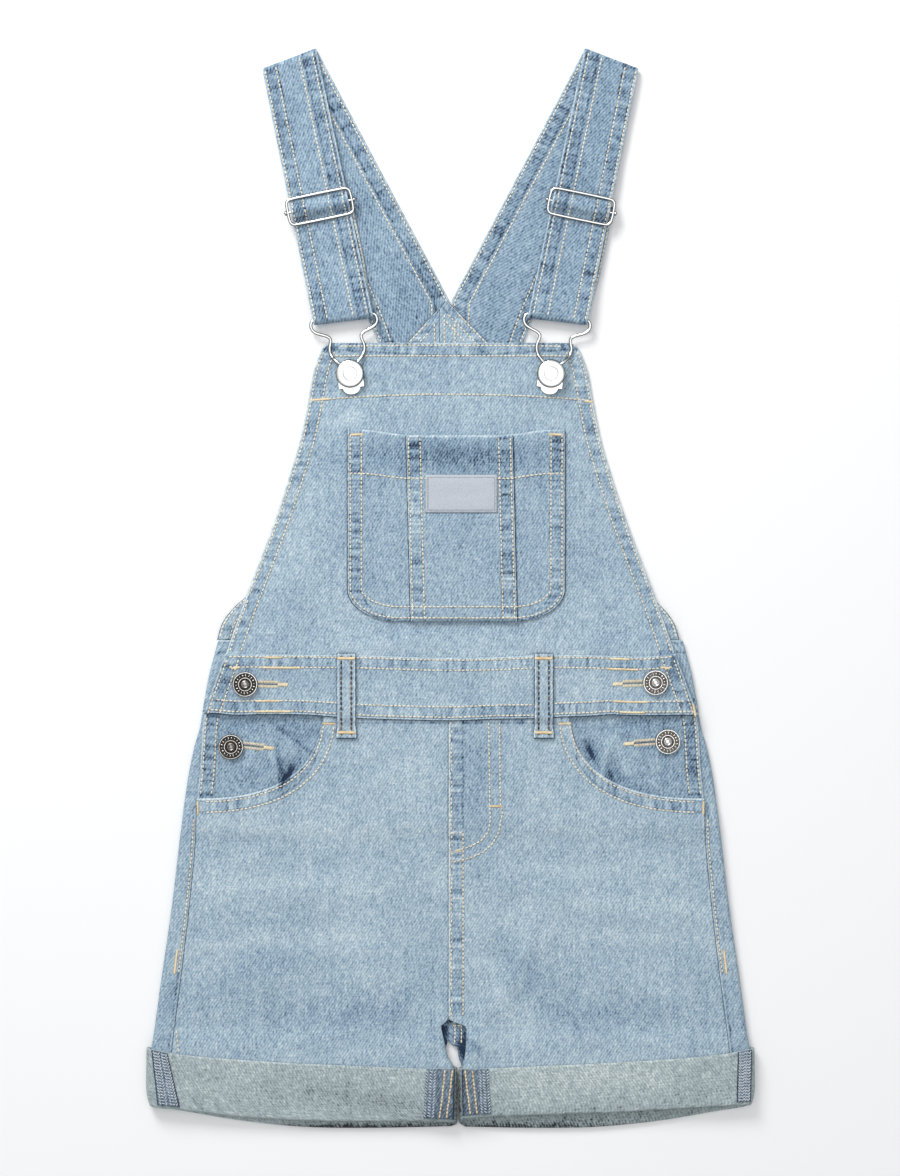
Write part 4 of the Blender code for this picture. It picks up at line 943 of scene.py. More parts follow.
# Darker, less faded cloth with painted shade in the facings' hollows and creases, and a painted highlight
# along their ridges
FADES_AND_SHADE += [
    (-104, -120, 9, 4.2, -0.34, 55), (-106.5, -122.5, 7, 1.7, -0.6, 58),
    (-110.8, -118, 13, 1.7, -0.34, 100), (-114.5, -112, 17, 2.4, 0.14, 100),
    (91.5, -106, 8, 3.6, -0.30, 110), (91, -107, 7, 1.4, -0.45, 118), (106, -120, 9, 4.0, -0.14, 128),
    (103.5, -121, 6, 1.2, -0.22, 112), (118, -127, 22, 3.2, -0.12, 158), (122, -98, 20, 2.2, -0.10, 164),
    (112, -112, 14, 2.2, 0.10, 110), (-126, -120, 18, 2.4, -0.10, 20), (-131, -108, 16, 2.2, 0.08, 74),
    (100.5, -112, 18, 2.2, 0.14, 78), (-98, -92, 26, 5, -0.08, -10), (-103, -97, 12, 1.6, -0.16, -38),
    (-95, -104, 12, 1.6, -0.12, -36), (120, -88, 30, 5, -0.08, 6),
]


def facing_place(x, up):
    return x, up, rest(x, up) + CLOTH / 2 + spots_at(FACING_FOLDS, x, up)


def facing_shape(side):
    inner_end = MOUTH_START[side] - FACING_LAP
    lowest = mouth(side, MOUTH_START[side] + FACING_LAP)

    def shape(u, v):
        edge = front_half(mix(LEG_TOP, HIP_OPENING_END, v))
        bottom = min(mouth(side, mix(edge, inner_end, u)), lowest) - FACING_LAP
        up = mix(LEG_TOP, bottom, v)
        out = mix(front_half(up) - SEAM_GAP, inner_end, u)
        return facing_place(side * out, up)

    return shape


facing_denim = denim("facing_denim", 0.42, FACING_ROWS, seed=15.0)
for label, side in SIDES.items():
    across = [0, 0.005, 0.012] + steps(0.024, 1, 76)
    facing = lay_cloth("hip_facing_" + label, facing_shape(side), across, steps(0, 1, 56), hems="L")
    rows = [[(side * (front_half(up) - inset), up) for up in steps(-84, -134, 14)]
            for inset in FACING_ROWS]
    stitches = stitch_cloth("hip_facing_stitches_" + label, facing_place, rows, tan_thread)
    finish_sheet(facing, facing_denim, "hip_facing_" + label)

# Front legs
# Each front leg is one panel, scooped at the top for the pocket mouth. The two are felled together down
# the middle, and the right one carries the curved stitching of a mock fly.

BELOW_POCKET = -152.0
MOUTH_ROWS = (2.2, 9.0)


def leg_place(x, up):
    lift = LAYER * smooth((up - HIP_OPENING_END) / 17 + 1.82)
    return x, up, rest(x, up) + CLOTH / 2 + lift


def front_leg_shape(side):
    def shape(w, v):
        top = mouth(side, mix(front_half(HIP_OPENING_END), abs(CENTRE_SEAM), min(w, 1)))
        up = mix(top, BELOW_POCKET, v) if v < 1 else mix(BELOW_POCKET, LEG_END, v - 1)
        low = leg_low(up)
        inner_at = inner_edge(side, up, FRONT_CROTCH)
        high = leg_place(inner_at, up)[2]
        if w > 1:
            x, z = inner_curl(side, INNER_TURN * (w - 1), up, FRONT_CROTCH, low, high, False)
            return x, up, z
        seam = side * (front_half(up) - SEAM_GAP / 2)
        inner, _ = inner_curl(side, 0, up, FRONT_CROTCH, low, high, False)
        x = mix(seam, inner, w)
        at_curl = high - leg_place(inner, up)[2]
        return x, up, leg_place(x, up)[2] + at_curl * smooth((w - 0.9) / 0.1)

    return shape


def beside(path, distance):
    """A line at a distance to the left of a path."""
    moved = []
    for k, (x, up) in enumerate(path):
        before, after = path[max(k - 1, 0)], path[min(k + 1, len(path) - 1)]
        way = Vector((after[0] - before[0], after[1] - before[1])).normalized()
        moved.append((x - way.y * distance, up + way.x * distance))
    return moved


FLY_OUTER = [(31.9, -87), (32.2, -118), (32.4, -141), (33.8, -146), (31.6, -158), (27.6, -166),
             (21.0, -172), (11.6, -176), (1.4, -178.4)]
FLY_INNER = [(24.9, -87), (25.3, -118), (25.5, -141), (26.0, -150), (24.6, -158.5), (20.0, -164),
             (13.6, -167.8), (7.0, -170), (1.2, -171.2)]
leg_denim = {
    "left": denim("leg_left_denim", 0.565, end_rows=MOUTH_ROWS, seed=19.0),
    "right": denim("leg_right_denim", 0.565, (1.8, 9.5), MOUTH_ROWS, seed=20.0, puckers=0.9),
}
for label, side in SIDES.items():
    around = [0, 0.002, 0.005] + steps(0.01, 0.99, 98) + [1, 1.3, 1.65, 2]
    along = [0, 0.006, 0.015] + steps(0.03, 1, 40) + steps(1, 2, 86)[1:]
    leg = lay_cloth("front_leg_" + label, front_leg_shape(side), around, along,
                    hems="RT" if side > 0 else "T")
    if side > 0:
        # The felled seam ends at the crotch
        for near in ("side", "rim"):
            for kept, point in zip(leg.data.attributes[near].data, leg.data.vertices):
                if point.co.y < (FRONT_CROTCH + 1) * MM:
                    kept.value = FAR
    rim = []
    for turn in steps(math.pi / 2, 0, 40):
        out = MOUTH_START[side] + mouth_span(side) * (1 - math.cos(turn) ** (2 / MOUTH_POWER))
        rim.append((side * out, LEG_TOP - MOUTH_DEPTH * math.sin(turn) ** (2 / MOUTH_POWER)))
    rows = [[spot for spot in beside(rim, side * inset)[1:] if spot[1] < -87.5] for inset in MOUTH_ROWS]
    if side > 0:
        rows += [[(0.5, -86.5), (0.5, -281)], [(8.2, -159), (8.2, -278)], [(0.5, -159.2), (8.2, -159.2)]]
        rows += [FLY_OUTER, FLY_INNER]
    else:
        rows += [[(-178.2, -287), (-176.3, -301.5)]]
    stitches = stitch_cloth("front_leg_stitches_" + label, leg_place, rows, tan_thread)
    start = MOUTH_START[side]
    tacks = [[(side * 164.2, -138.5), (side * 164.0, -147)],
             [(side * (start - 1.2), -88), (side * (start - 9.4), -88.3)]]
    if side > 0:
        tacks += [[(25.2, -141.8), (33.6, -141.8)], [(1.0, -171), (8.8, -171)], [(0.6, -178), (0.6, -171)]]
    bars = stitch_cloth("front_leg_tacks_" + label, leg_place, tacks, gold_thread, pitch=0.45, long=1.7,
                        turn=90, thick=0.5)
    finish_sheet(leg, leg_denim[label], "front_leg_" + label)

# Front bib
# One denim panel with a facing turned in along its top. The top and sides are stitched twice, and a
# single row holds the facing's lower edge.

BIB_TOP = 159.4
BIB_CORNER = 6.0
BIB_SIDE_ROWS = (2.0, 9.2)


def bib_place(x, up):
    return x, up, rest(x, up) + CLOTH / 2 + LAYER * smooth((-25 - up) / 16)


def bib_shape(u, up):
    into_corner = max(0.0, up - (BIB_TOP - BIB_CORNER))
    round_off = BIB_CORNER - math.sqrt(max(0.0, BIB_CORNER**2 - into_corner**2))
    return bib_place(u * (front_half(up) - round_off), up)


across = [-1, -0.996, -0.99] + steps(-0.98, 0.98, 136) + [0.99, 0.996, 1]
heights = [BIB_TOP, 159.2, 158.8, 158.2, 157.2] + steps(155.6, -51, 104)
bib = lay_cloth("front_bib", bib_shape, across, heights, hems="LRT")
marks = range(-78, 79, 6)
rows = [[(x, 157.7 - 0.6 * (x / 78) ** 2) for x in marks if abs(x) < 76], [(x, 150.9) for x in marks]]
rows += [[(x * 1.16, 125.9 - 3.8 * (x / 78) ** 2) for x in marks]]
for side in (-1, 1):
    rows += [[(side * (front_half(up) - inset), up) for up in range(154, -46, -5)] for inset in BIB_SIDE_ROWS]
stitches = stitch_cloth("front_bib_stitches", bib_place, rows, tan_thread)
doubled = [[(-91.0, 122.2), (-79.0, 123.0)], [(87.4, 121.7), (92.4, 121.1)]]
bars = stitch_cloth("front_bib_doubled", bib_place, doubled, gold_thread, pitch=1.3, long=2.4, thick=1.5,
                    seed=3)
bib_denim = denim("bib_denim", 0.53, BIB_SIDE_ROWS, (1.7, 8.5), seed=23.0)
finish_sheet(bib, bib_denim, "front_bib")

# Bib pocket
# A patch pocket stitched round with two rows, with a lapped centre panel felled down its middle and a
# plain woven label. The mouth gapes a little.

POCKET_MIDDLE = 3.7
POCKET_HALF = 71.0
POCKET_TOP = 103.0
POCKET_FOOT = -21.6
POCKET_ROWS = (2.2, 9.4)
CORNER_ACROSS = 34.0
CORNER_UP = 21.0
MOUTH_DIP = 3.5
CENTRE_HALF = 35.0
CENTRE_TOP = 99.0


def pocket_gape(up, top):
    return 0.7 * max(0.0, (up - POCKET_FOOT) / (top - POCKET_FOOT)) ** 6


def pocket_place(x, up):
    return x, up, rest(x, up) + LAYER + CLOTH / 2 + pocket_gape(up, POCKET_TOP)


def pocket_half(up):
    into_corner = max(0.0, POCKET_FOOT + CORNER_UP - up) / CORNER_UP
    return POCKET_HALF - CORNER_ACROSS * (1 - math.sqrt(max(0.0, 1 - into_corner**2)))


def pocket_dip(u):
    return 1 - smooth((abs(u) - 0.4) / 0.5)


def pocket_shape(u, v):
    nominal = mix(POCKET_TOP, POCKET_FOOT, v)
    up = nominal - MOUTH_DIP * pocket_dip(u) * (1 - v) ** 4
    return pocket_place(POCKET_MIDDLE + u * pocket_half(nominal), up)


def centre_place(x, up):
    return x, up, rest(x, up) + 2 * LAYER + CLOTH / 2 + pocket_gape(up, CENTRE_TOP)


def centre_shape(u, v):
    x = POCKET_MIDDLE + mix(2, 5, v) + u * CENTRE_HALF
    return centre_place(x, mix(CENTRE_TOP, POCKET_FOOT - SEAM_GAP, v))


across = [-1, -0.994, -0.986] + steps(-0.97, 0.97, 68) + [0.986, 0.994, 1]
along = [0, 0.003, 0.008] + steps(0.02, 0.84, 50) + steps(0.85, 0.97, 14) + [0.98, 0.988, 0.995, 1]
pocket = lay_cloth("bib_pocket", pocket_shape, across, along, hems="LRB", pressed=0.35, folds="T",
                   shade_sides="LRB")
rim = [(POCKET_MIDDLE - POCKET_HALF, up) for up in (100, 60, 20, 0)]
for k in range(1, 13):
    turn = math.pi / 2 * k / 12
    rim.append((POCKET_MIDDLE - POCKET_HALF + CORNER_ACROSS * (1 - math.cos(turn)),
                POCKET_FOOT + CORNER_UP * (1 - math.sin(turn))))
rim += [(2 * POCKET_MIDDLE - x, up) for x, up in reversed(rim)]
rows = [beside(rim, inset) for inset in POCKET_ROWS]
rows += [[(x, 74.5 - 3.4 * pocket_dip((x - POCKET_MIDDLE) / POCKET_HALF)) for x in steps(-66, 73.4, 30)]]
stitches = stitch_cloth("bib_pocket_stitches", pocket_place, rows, tan_thread)
tacks = [[(POCKET_MIDDLE + side * 68.2, 99.6), (POCKET_MIDDLE + side * 60.8, 99.9)] for side in (-1, 1)]
bars = stitch_cloth("bib_pocket_tacks", pocket_place, tacks, gold_thread, pitch=0.45, long=1.6, turn=90)
pocket_denim = denim("pocket_denim", 0.465, POCKET_ROWS, POCKET_ROWS, seed=27.0, puckers=0.9)
finish_sheet(pocket, pocket_denim, "bib_pocket")

across = [-1, -0.988, -0.97] + steps(-0.94, 0.94, 34) + [0.97, 0.988, 1]
along = [0, 0.004, 0.01] + steps(0.02, 1, 60)
centre = lay_cloth("bib_pocket_centre", centre_shape, across, along, hems="LR", pressed=0.35, folds="T",
                   shade_sides="LR")
rows = []
for u in (-0.945, -0.73, 0.73, 0.945):
    rows.append([(POCKET_MIDDLE + mix(2, 5, v) + u * CENTRE_HALF, mix(CENTRE_TOP, POCKET_FOOT, v))
                 for v in steps(0.01, 0.99, 20)])
rows += [[(x, 71.2) for x in steps(-28.5, 41.5, 12)]]
rows += [[(x, up) for x in steps(-26, 44, 12)] for up in (-19.4, -12.2)]
stitches = stitch_cloth("pocket_centre_stitches", centre_place, rows, tan_thread)
centre_denim = denim("pocket_centre_denim", 0.47, (1.9, 9.4), seed=31.0, puckers=0.9)
finish_sheet(centre, centre_denim, "bib_pocket_centre")

# Pocket label
# A small label woven in pale grey, left bare, and stitched flat to the centre panel along its ends.

LABEL_WIDTH = 46.7
LABEL_HEIGHT = 24.6
LABEL_X = 7.1
LABEL_UP = 61.2


def label_place(x, up):
    return x, up, rest(x, up) + 3 * LAYER + 0.5


def label_shape(u, v):
    return label_place(LABEL_X + u * LABEL_WIDTH / 2, LABEL_UP - v * LABEL_HEIGHT / 2)


woven_label, shader, add = material("woven_label", 0.7)
cut = add.add("ShaderNodeUVMap", {"uv_map": "cut"})
ribs = (cut.add("ShaderNodeSeparateXYZ", inputs={0: cut}, output=1) * (math.tau / (0.55 * MM)))
ribs = ribs.maths("SINE", ribs)
picks = cut.scaled(1.1 * MM, 0.5 * MM).noise(2)
side = add.attribute("side")
end = add.attribute("end")
border = side.maths("MINIMUM", side, end)
line = (border - 1.7).maths("ABSOLUTE", border - 1.7).between(0.55, 0.25)
tint = (0.0, (0.10, 0.12, 0.15)), (0.5, (0.50, 0.55, 0.62)), (1.0, (0.68, 0.72, 0.78))
plug(
    shader,
    Base_Color=(picks * 0.7 + ribs * 0.05 - line * 0.35 + 0.38).ramp(*tint),
    Normal=add.bump(ribs + picks * 2, 0.08),
)
tag = lay_cloth("pocket_label", label_shape, steps(-1, 1, 40), steps(-1, 1, 24), hems="LRTB", thick=0.6,
                rise=0.1, pressed=0.5)
inset = LABEL_WIDTH / 2 - 0.9
rows = [[(LABEL_X + s * inset, LABEL_UP + t * 11) for t in (-1, 0, 1)] for s in (-1, 1)]
pale_thread = thread("pale_thread", (0.78, 0.80, 0.82), (0.55, 0.60, 0.66))
stitches = stitch_cloth("label_stitches", label_place, rows, pale_thread, pitch=2.2, long=1.6, thick=0.4,
                        lift=0.4)
finish_sheet(tag, woven_label, "pocket_label")

# Front waistband
# A doubled band sewn over the bib's foot and the tops of the legs, stitched twice along both edges
# and twice across its slanting ends, with a worked buttonhole at each end.

BAND_LIFT = 2 * LAYER + 0.15
band_top = curve_through((-150, -43), (-98, -43.3), (-50, -43.9), (-28, -44.8), (0, -45.3), (27, -45),
                         (54, -43.8), (72, -43.4), (104, -44), (126, -44.5), (146, -42.8))
band_foot = curve_through((-153, -81.4), (-140, -82.6), (-118, -82.2), (-93, -82.6), (-75, -83.9),
                          (-58, -84.9), (-23, -86), (3, -86.4), (27, -85.4), (54, -85), (72, -83.9),
                          (90, -83.3), (104, -82.4), (117, -82.9), (135, -82.8), (153, -82.6))


def band_place(x, up):
    return x, up, rest(x, up) + BAND_LIFT + CLOTH / 2


def band_shape(u, v):
    up = mix(band_top(u * front_half(-44)), band_foot(u * front_half(-82)), v)
    return band_place(u * (front_half(up) + SEAM_GAP), up)


across = [-1, -0.997, -0.993] + steps(-0.985, 0.985, 150) + [0.993, 0.997, 1]
along = [0, 0.01, 0.025] + steps(0.06, 0.94, 18) + [0.975, 0.99, 1]
band = lay_cloth("front_waistband", band_shape, across, along, hems="LRTB", pressed=0.3, shade_sides="B")
# Each row's edge and inset, and where it was sewn twice near the buttonholes, in brighter thread
BAND_ROWS = [
    (band_top, -1.6, ((-120, -110), (104, 116))), (band_top, -8.2, ((-122, -98), (102, 121.5))),
    (band_foot, 9.2, ((-126, -111), (106, 128))), (band_foot, 2.4, ((-127, -104), (110, 126))),
]
rows, again = [], []
for edge, inset, spans in BAND_ROWS:
    row = [(x, edge(x) + inset) for x in range(-156, 157, 4)]
    rows.append([(x, up) for x, up in row if abs(x) < front_half(up) - 1.5])
    again += [[(x, edge(x) + inset - 0.3) for x in steps(start, stop, 3)] for start, stop in spans]
for side in (-1, 1):
    for inset in BAND_END_ROWS:
        rows.append([(side * (front_half(up) - inset), up) for up in (-46.4, -58, -70, -81.6)])
stitches = stitch_cloth("front_waistband_stitches", band_place, rows, tan_thread)
tacks = [[(side * 142, -52.2), (side * 137, -51.4)] for side in (-1, 1)] + [[(157.6, -76), (158.9, -83)]]
bars = stitch_cloth("front_waistband_tacks", band_place, tacks, gold_thread, pitch=0.45, long=1.6, turn=90)
doubled = stitch_cloth("front_waistband_doubled", band_place, again, gold_thread, pitch=1.3, long=2.4,
                       thick=1.5, seed=5)
finish_sheet(band, band_denim, "front_waistband")

# Belt loops
# Narrow strips of denim, folded in three and stitched twice in dark thread. Each climbs over the
# waistband and is tacked down above and below it.

BELT_LOOPS = {"left": -67.6, "right": 60.5}
LOOP_WIDTH = 12.6
LOOP_TOP = -42.2
LOOP_FOOT = -97.8
loop_denim = denim("loop_denim", 0.60, (2.9,), seed=35.0, puckers=0.4)
dark_thread = thread("dark_thread", (0.035, 0.035, 0.05), (0.50, 0.31, 0.14))


def loop_place(middle):
    def place(x, up):
        on_band = smooth((band_top(middle) + 5 - up) / 6) * smooth((up - band_foot(middle) + 5) / 6)
        return x, up, rest(x, up) + BAND_LIFT + CLOTH / 2 + 2.0 * on_band

    return place


for label, middle in BELT_LOOPS.items():
    place = loop_place(middle)
    across = [-1, -0.96, -0.9] + steps(-0.8, 0.8, 8) + [0.9, 0.96, 1]
    heights = [LOOP_TOP, -42.5, -43] + steps(-44, -96, 34) + [-97, -97.5, LOOP_FOOT]

    def loop_shape(u, up):
        flare = 1 + 0.10 * smooth((-90 - up) / 4)
        return place(middle + u * flare * LOOP_WIDTH / 2, up)

    loop = lay_cloth("belt_loop_" + label, loop_shape, across, heights, hems="LR", rise=0.5, shade_sides="LRTB")
    rows = [[(middle + across, up) for up in steps(-43.5, -96, 20)] for across in (-3.25, 3.25)]
    stitches = stitch_cloth("belt_loop_stitches_" + label, place, rows, dark_thread, lift=0.96, pitch=3.3,
                            long=3.1, thick=1.35)
    tacks = [[(middle - 5.6, up), (middle + 5.6, up)] for up in (-45.6, -93.8)]
    bars = stitch_cloth("belt_loop_tacks_" + label, place, tacks, gold_thread, pitch=0.6, long=2.0, turn=90,
                        lift=1.2)
    finish_sheet(loop, loop_denim, "belt_loop_" + label)

# Cuffs
# Each leg's end is turned up twice, so that its cuff shows the pale wrong side of the denim as a ring
# round the leg, with the serged seam allowances of the side and inner seams on it.

cuff_half = curve_through((-298, 197.6), (-322, 198), (-331, 197.2), (-337, 195.4))
cuff_top = curve_through((0, -311.5), (20, -312), (60, -310.5), (98, -308.8), (140, -306), (177, -302.5),
                         (190, -300), (198, -298.5))
cuff_front = {
    -1: curve_through((0, -347), (20, -346.6), (60, -346.6), (98, -346), (140, -343.3), (177, -339),
                      (190, -338), (198, -337)),
    1: curve_through((0, -345.5), (20, -344), (58, -342.6), (106, -341), (153, -338), (177, -336.4),
                     (198, -335.4)),
}
cuff_back = curve_through((0, -350.5), (20, -351), (60, -351.6), (98, -350.8), (140, -346.5),
                          (177, -340.4), (190, -338.4), (198, -337))
FOLD_BLEND = 0.12


def cuff_point(side, w, up, inset):
    """A point on the cuff's loop, or on a loop inside it."""
    low = CLOTH / 2 + inset
    cover = CLOTH / 2 + CUFF_STEP - inset
    fold = side * (cuff_half(up) - CLOTH / 2 - inset)
    inner = LEG_MEET + side * (CUFF_APART + inset)
    inner_radius = (rest(inner, up) + cover - low) / 2
    outer_radius = (rest(fold, up) + cover - low) / 2
    if w <= 1 or w > 5:
        angle = math.pi / 2 * (1 - w if w <= 1 else w - 5)
        x = inner + side * inner_radius * (1 - math.sin(angle))
        drop = inner_radius * (1 - math.cos(angle))
        return x, low + drop if w <= 1 else low + 2 * inner_radius - drop
    if w <= 2:
        return mix(inner + side * inner_radius, fold - side * outer_radius, w - 1), low
    if w <= 3:
        turn = math.pi * (w - 2)
        x = fold - side * outer_radius * (1 - math.sin(turn))
        return x, low + outer_radius * (1 - math.cos(turn))
    x = mix(fold - side * outer_radius, inner + side * inner_radius, (w - 3) / 2)
    ends = low + 2 * mix(outer_radius, inner_radius, (w - 3) / 2)
    near_end = smooth(1 - (w - 3) / FOLD_BLEND) + smooth(1 - (5 - w) / FOLD_BLEND)
    return x, mix(rest(x, up) + cover, ends, min(1, near_end))


def cuff_shape(side):
    def shape(w, v):
        x, _ = cuff_point(side, w, -320, 0)
        share = max(0.5 * (1 - w), min(1, w - 2), 0) if w <= 5 else 1 - 0.5 * (w - 5)
        bottom = mix(cuff_back(abs(x)), cuff_front[side](abs(x)), share) + CLOTH / 2 + CUFF_TURN
        if v <= 1:
            up, inset = mix(cuff_top(abs(x)), bottom, v), 0
        elif v <= 2:
            turn = math.pi * (v - 1)
            up, inset = bottom - CUFF_TURN * math.sin(turn), CUFF_TURN * (1 - math.cos(turn))
        else:
            up, inset = mix(bottom, LEG_END - 3 * SEAM_GAP, v - 2), CUFF_STEP
        x, z = cuff_point(side, w, up, inset)
        return x, up, z

    return shape


WRONG_SIDE = (
    (0, (0.03, 0.035, 0.04)),
    (0.33, (0.26, 0.315, 0.33)),
    (0.66, (0.41, 0.485, 0.50)),
    (1, (0.68, 0.75, 0.75)),
)
cuff_denim = denim("cuff_denim", 0.58, colours=WRONG_SIDE, seed=39.0, worn=0.45, crinkle=0.5)
for label, side in SIDES.items():
    around = steps(0, 1, 5) + steps(1, 2, 84)[1:] + steps(2, 3, 10)[1:] + steps(3, 5, 96)[1:]
    around += steps(5, 6, 5)[1:]
    along = [0, 0.008, 0.02] + steps(0.05, 1, 18) + steps(1, 2, 8)[1:] + steps(2, 3, 7)[1:]
    cuff = lay_cloth("cuff_" + label, cuff_shape(side), around, along, rise=0.15, grain="length", ring=True,
                     folds="T")
    finish_sheet(cuff, cuff_denim, "cuff_" + label)

# Each strip's sides at its top and foot, and where its serging and its bold rows lie across it
CUFF_STRIPS = {
    "side_left": (-194, -183.6, -190, -175.5, (0.28, 0.76), ()),
    "inner_left": (-15.5, 2.8, -17.5, 2.2, (0.17,), ((0.66, 0.53), (0.93, 0.75))),
    "inner_right": (7.2, 24.4, 7.9, 26, (0.83,), ((0.12, 0.28), (0.40, 0.52))),
    "side_right": (186.4, 195.6, 185.6, 194.8, (0.3, 0.72), ()),
}
SERGED = (
    (0, (0.03, 0.045, 0.07)),
    (0.33, (0.13, 0.18, 0.24)),
    (0.66, (0.31, 0.385, 0.46)),
    (1, (0.6, 0.66, 0.7)),
)
serging_thread = thread("serging_thread", (0.66, 0.72, 0.77), (0.24, 0.30, 0.38))
serged_denim = denim("serged_denim", 0.36, colours=SERGED, seed=43.0, worn=0.0)


def strip_place(x, up):
    return x, up, rest(x, up) + CLOTH / 2 + CUFF_STEP + CLOTH / 2 + SEAM_GAP + 0.5


for label, (top_from, top_to, foot_from, foot_to, serged, bold) in CUFF_STRIPS.items():
    side_name = label.split("_")[1]

    def across_strip(u, v):
        x = mix(mix(top_from, top_to, u), mix(foot_from, foot_to, u), v)
        foot = cuff_front[SIDES[side_name]](abs(x)) + 2.4
        return x, mix(cuff_top(abs(x)) - SEAM_GAP, foot, v)

    strip = lay_cloth("cuff_seam_" + label, lambda u, v: strip_place(*across_strip(u, v)),
                      [0, 0.04, 0.1] + steps(0.16, 0.84, 10) + [0.9, 0.96, 1],
                      [0, 0.01, 0.03] + steps(0.06, 0.97, 22) + [0.99, 1], hems="LR", thick=0.7, rise=0.1,
                      pressed=0.3, shade_sides="LR")
    serging = []
    for off, turn in ((-0.14, 38), (0.14, -38), (0.0, 64)):
        rows = [[across_strip(u + off, v) for v in steps(0.02, 0.98, 8)] for u in serged]
        serging.append(stitch_cloth("serging_" + label, strip_place, rows, serging_thread, pitch=1.9,
                                    turn=turn, thick=0.75, lift=0.45))
    threads = [join(serging)]
    if bold:
        rows = [[across_strip(mix(*ends, v), v) for v in steps(0.02, 0.98, 8)] for ends in bold]
        threads.append(stitch_cloth("cuff_seam_stitches_" + label, strip_place, rows, gold_thread, lift=0.42,
                                    pitch=2.5, thick=1.3))
    finish_sheet(strip, serged_denim, "cuff_seam_" + label)

# Sliders
# A slider is a frame of bright nickel-plated wire with a middle bar, whose ends are headed over outside
# the frame. The strap passes over the bar.

SLIDER_REACH = 21.0
SLIDER_CORNER = 3.4
SLIDER_PIN = 1.6


def metal(name, bright, dull, rough_low, rough_high):
    """Plated metal, clouded, with its reflection painted: lighter where it faces up and darker down its
    sides.
    """
    made, shader, add = material(name, rough_low, 1.0)
    shader.inputs["Specular Tint"].default_value = (0.12, 0.12, 0.12, 1)
    spot = add.own_place()
    cloud = spot.scaled(2.6 * MM, 2.6 * MM).noise(3, space="3D")
    rub = spot.scaled(0.5 * MM, 1.6 * MM).noise(2, space="3D")
    upward = add.attribute("upward")
    # Painted reflection: lighter where the metal faces up and darker down its sides, with clouding on top
    painted_reflection = upward.between(0.5, 0.92) * 0.8 + (cloud - 0.5) * 0.3 + 0.1
    plug(
        shader,
        Base_Color=painted_reflection.ramp((0.1, dull), (0.75, bright)),
        Roughness=cloud * (rough_high - rough_low) + rough_low,
        Normal=add.bump(rub, 0.05, 0.3),
    )
    return made


def keep_upward(piece):
    """Keeps how far each point faces upwards."""
    kept = piece.data.attributes.new("upward", "FLOAT", "POINT")
    kept.data.foreach_set("value", [abs(v.normal.z) for v in piece.data.vertices])


bright_wire = metal("bright_wire", (0.95, 0.95, 0.94), (0.045, 0.045, 0.05), 0.14, 0.34)


def curve_to_mesh(name, curve):
    """Makes a curve's data a mesh object."""
    piece = bpy.data.objects.new(name, curve)
    bpy.context.scene.collection.objects.link(piece)
    bpy.ops.object.select_all(action="DESELECT")
    piece.select_set(True)
    bpy.context.view_layer.objects.active = piece
    bpy.ops.object.convert(target="MESH")
    return bpy.context.object


def bent_wire(name, points, radius, look, closed=True):
    """A bent wire through points, made a mesh."""
    curve = bpy.data.curves.new(name, "CURVE")
    curve.dimensions = "3D"
    curve.bevel_depth = radius * MM
    curve.bevel_resolution = 4
    curve.resolution_u = 6
    curve.use_fill_caps = True
    spline = curve.splines.new("BEZIER")
    spline.bezier_points.add(len(points) - 1)
    for point, place in zip(spline.bezier_points, points):
        point.co = Vector(place) * MM
        point.handle_left_type = point.handle_right_type = "AUTO"
    spline.use_cyclic_u = closed
    wire = curve_to_mesh(name, curve)
    bpy.ops.object.shade_smooth()
    keep_upward(wire)
    wire.data.materials.append(look)
    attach(wire, "root")
    return wire


def along_strap(side, distance, across, height):
    """A point given by its place on the laid strap: distance from the fold, and across it."""
    plan = strap_start + strap_way * distance + Vector((-strap_way.y, strap_way.x)) * across
    return Vector((-side * plan.x, plan.y, height))


for label, side in SIDES.items():
    corners = []
    for turn_x, turn_y, start in ((1, 1, 0), (-1, 1, 90), (-1, -1, 180), (1, -1, 270)):
        for k in range(5):
            angle = math.radians(start + 22.5 * k)
            across = turn_x * (SLIDER_REACH - SLIDER_CORNER) + SLIDER_CORNER * math.cos(angle)
            down = turn_y * (SLIDER_HALF - SLIDER_CORNER) + SLIDER_CORNER * math.sin(angle)
            corners.append(along_strap(side, SLIDER_AT + down, across, SLIDER_HEIGHT))
    ring = bent_wire("slider_frame_" + label, corners, SLIDER_WIRE, bright_wire)
    reach = SLIDER_REACH + SLIDER_PIN
    bar = bent_wire("slider_bar_" + label,
                    [along_strap(side, SLIDER_AT, reach * k / 4, SLIDER_HEIGHT) for k in (-4, -2, 0, 2, 4)],
                    SLIDER_WIRE * 0.86, bright_wire, closed=False)
    heads = []
    for end in (-1, 1):
        bpy.ops.object.select_all(action="DESELECT")
        bpy.ops.mesh.primitive_uv_sphere_add(segments=16, ring_count=10, radius=1.5 * MM)
        head = bpy.context.object
        head.data.transform(Matrix.Diagonal((0.62, 1, 1, 1)))
        head.data.transform(Matrix.Rotation(math.atan2(-strap_way.x, -side * strap_way.y), 4, "Z"))
        head.data.transform(Matrix.Translation(along_strap(side, SLIDER_AT, end * reach, SLIDER_HEIGHT) * MM))
        head.data.materials.append(bright_wire)
        bpy.ops.object.shade_smooth()
        keep_upward(head)
        heads.append(head)
    slider = join([ring, bar, *heads])
    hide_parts("slider_" + label)

# Buckles
# Each buckle is one bright wire, bent to a bar for the strap, two shoulders, a neck, and a loop that
# hooks over the bib button. A stamped plate lies behind the button.

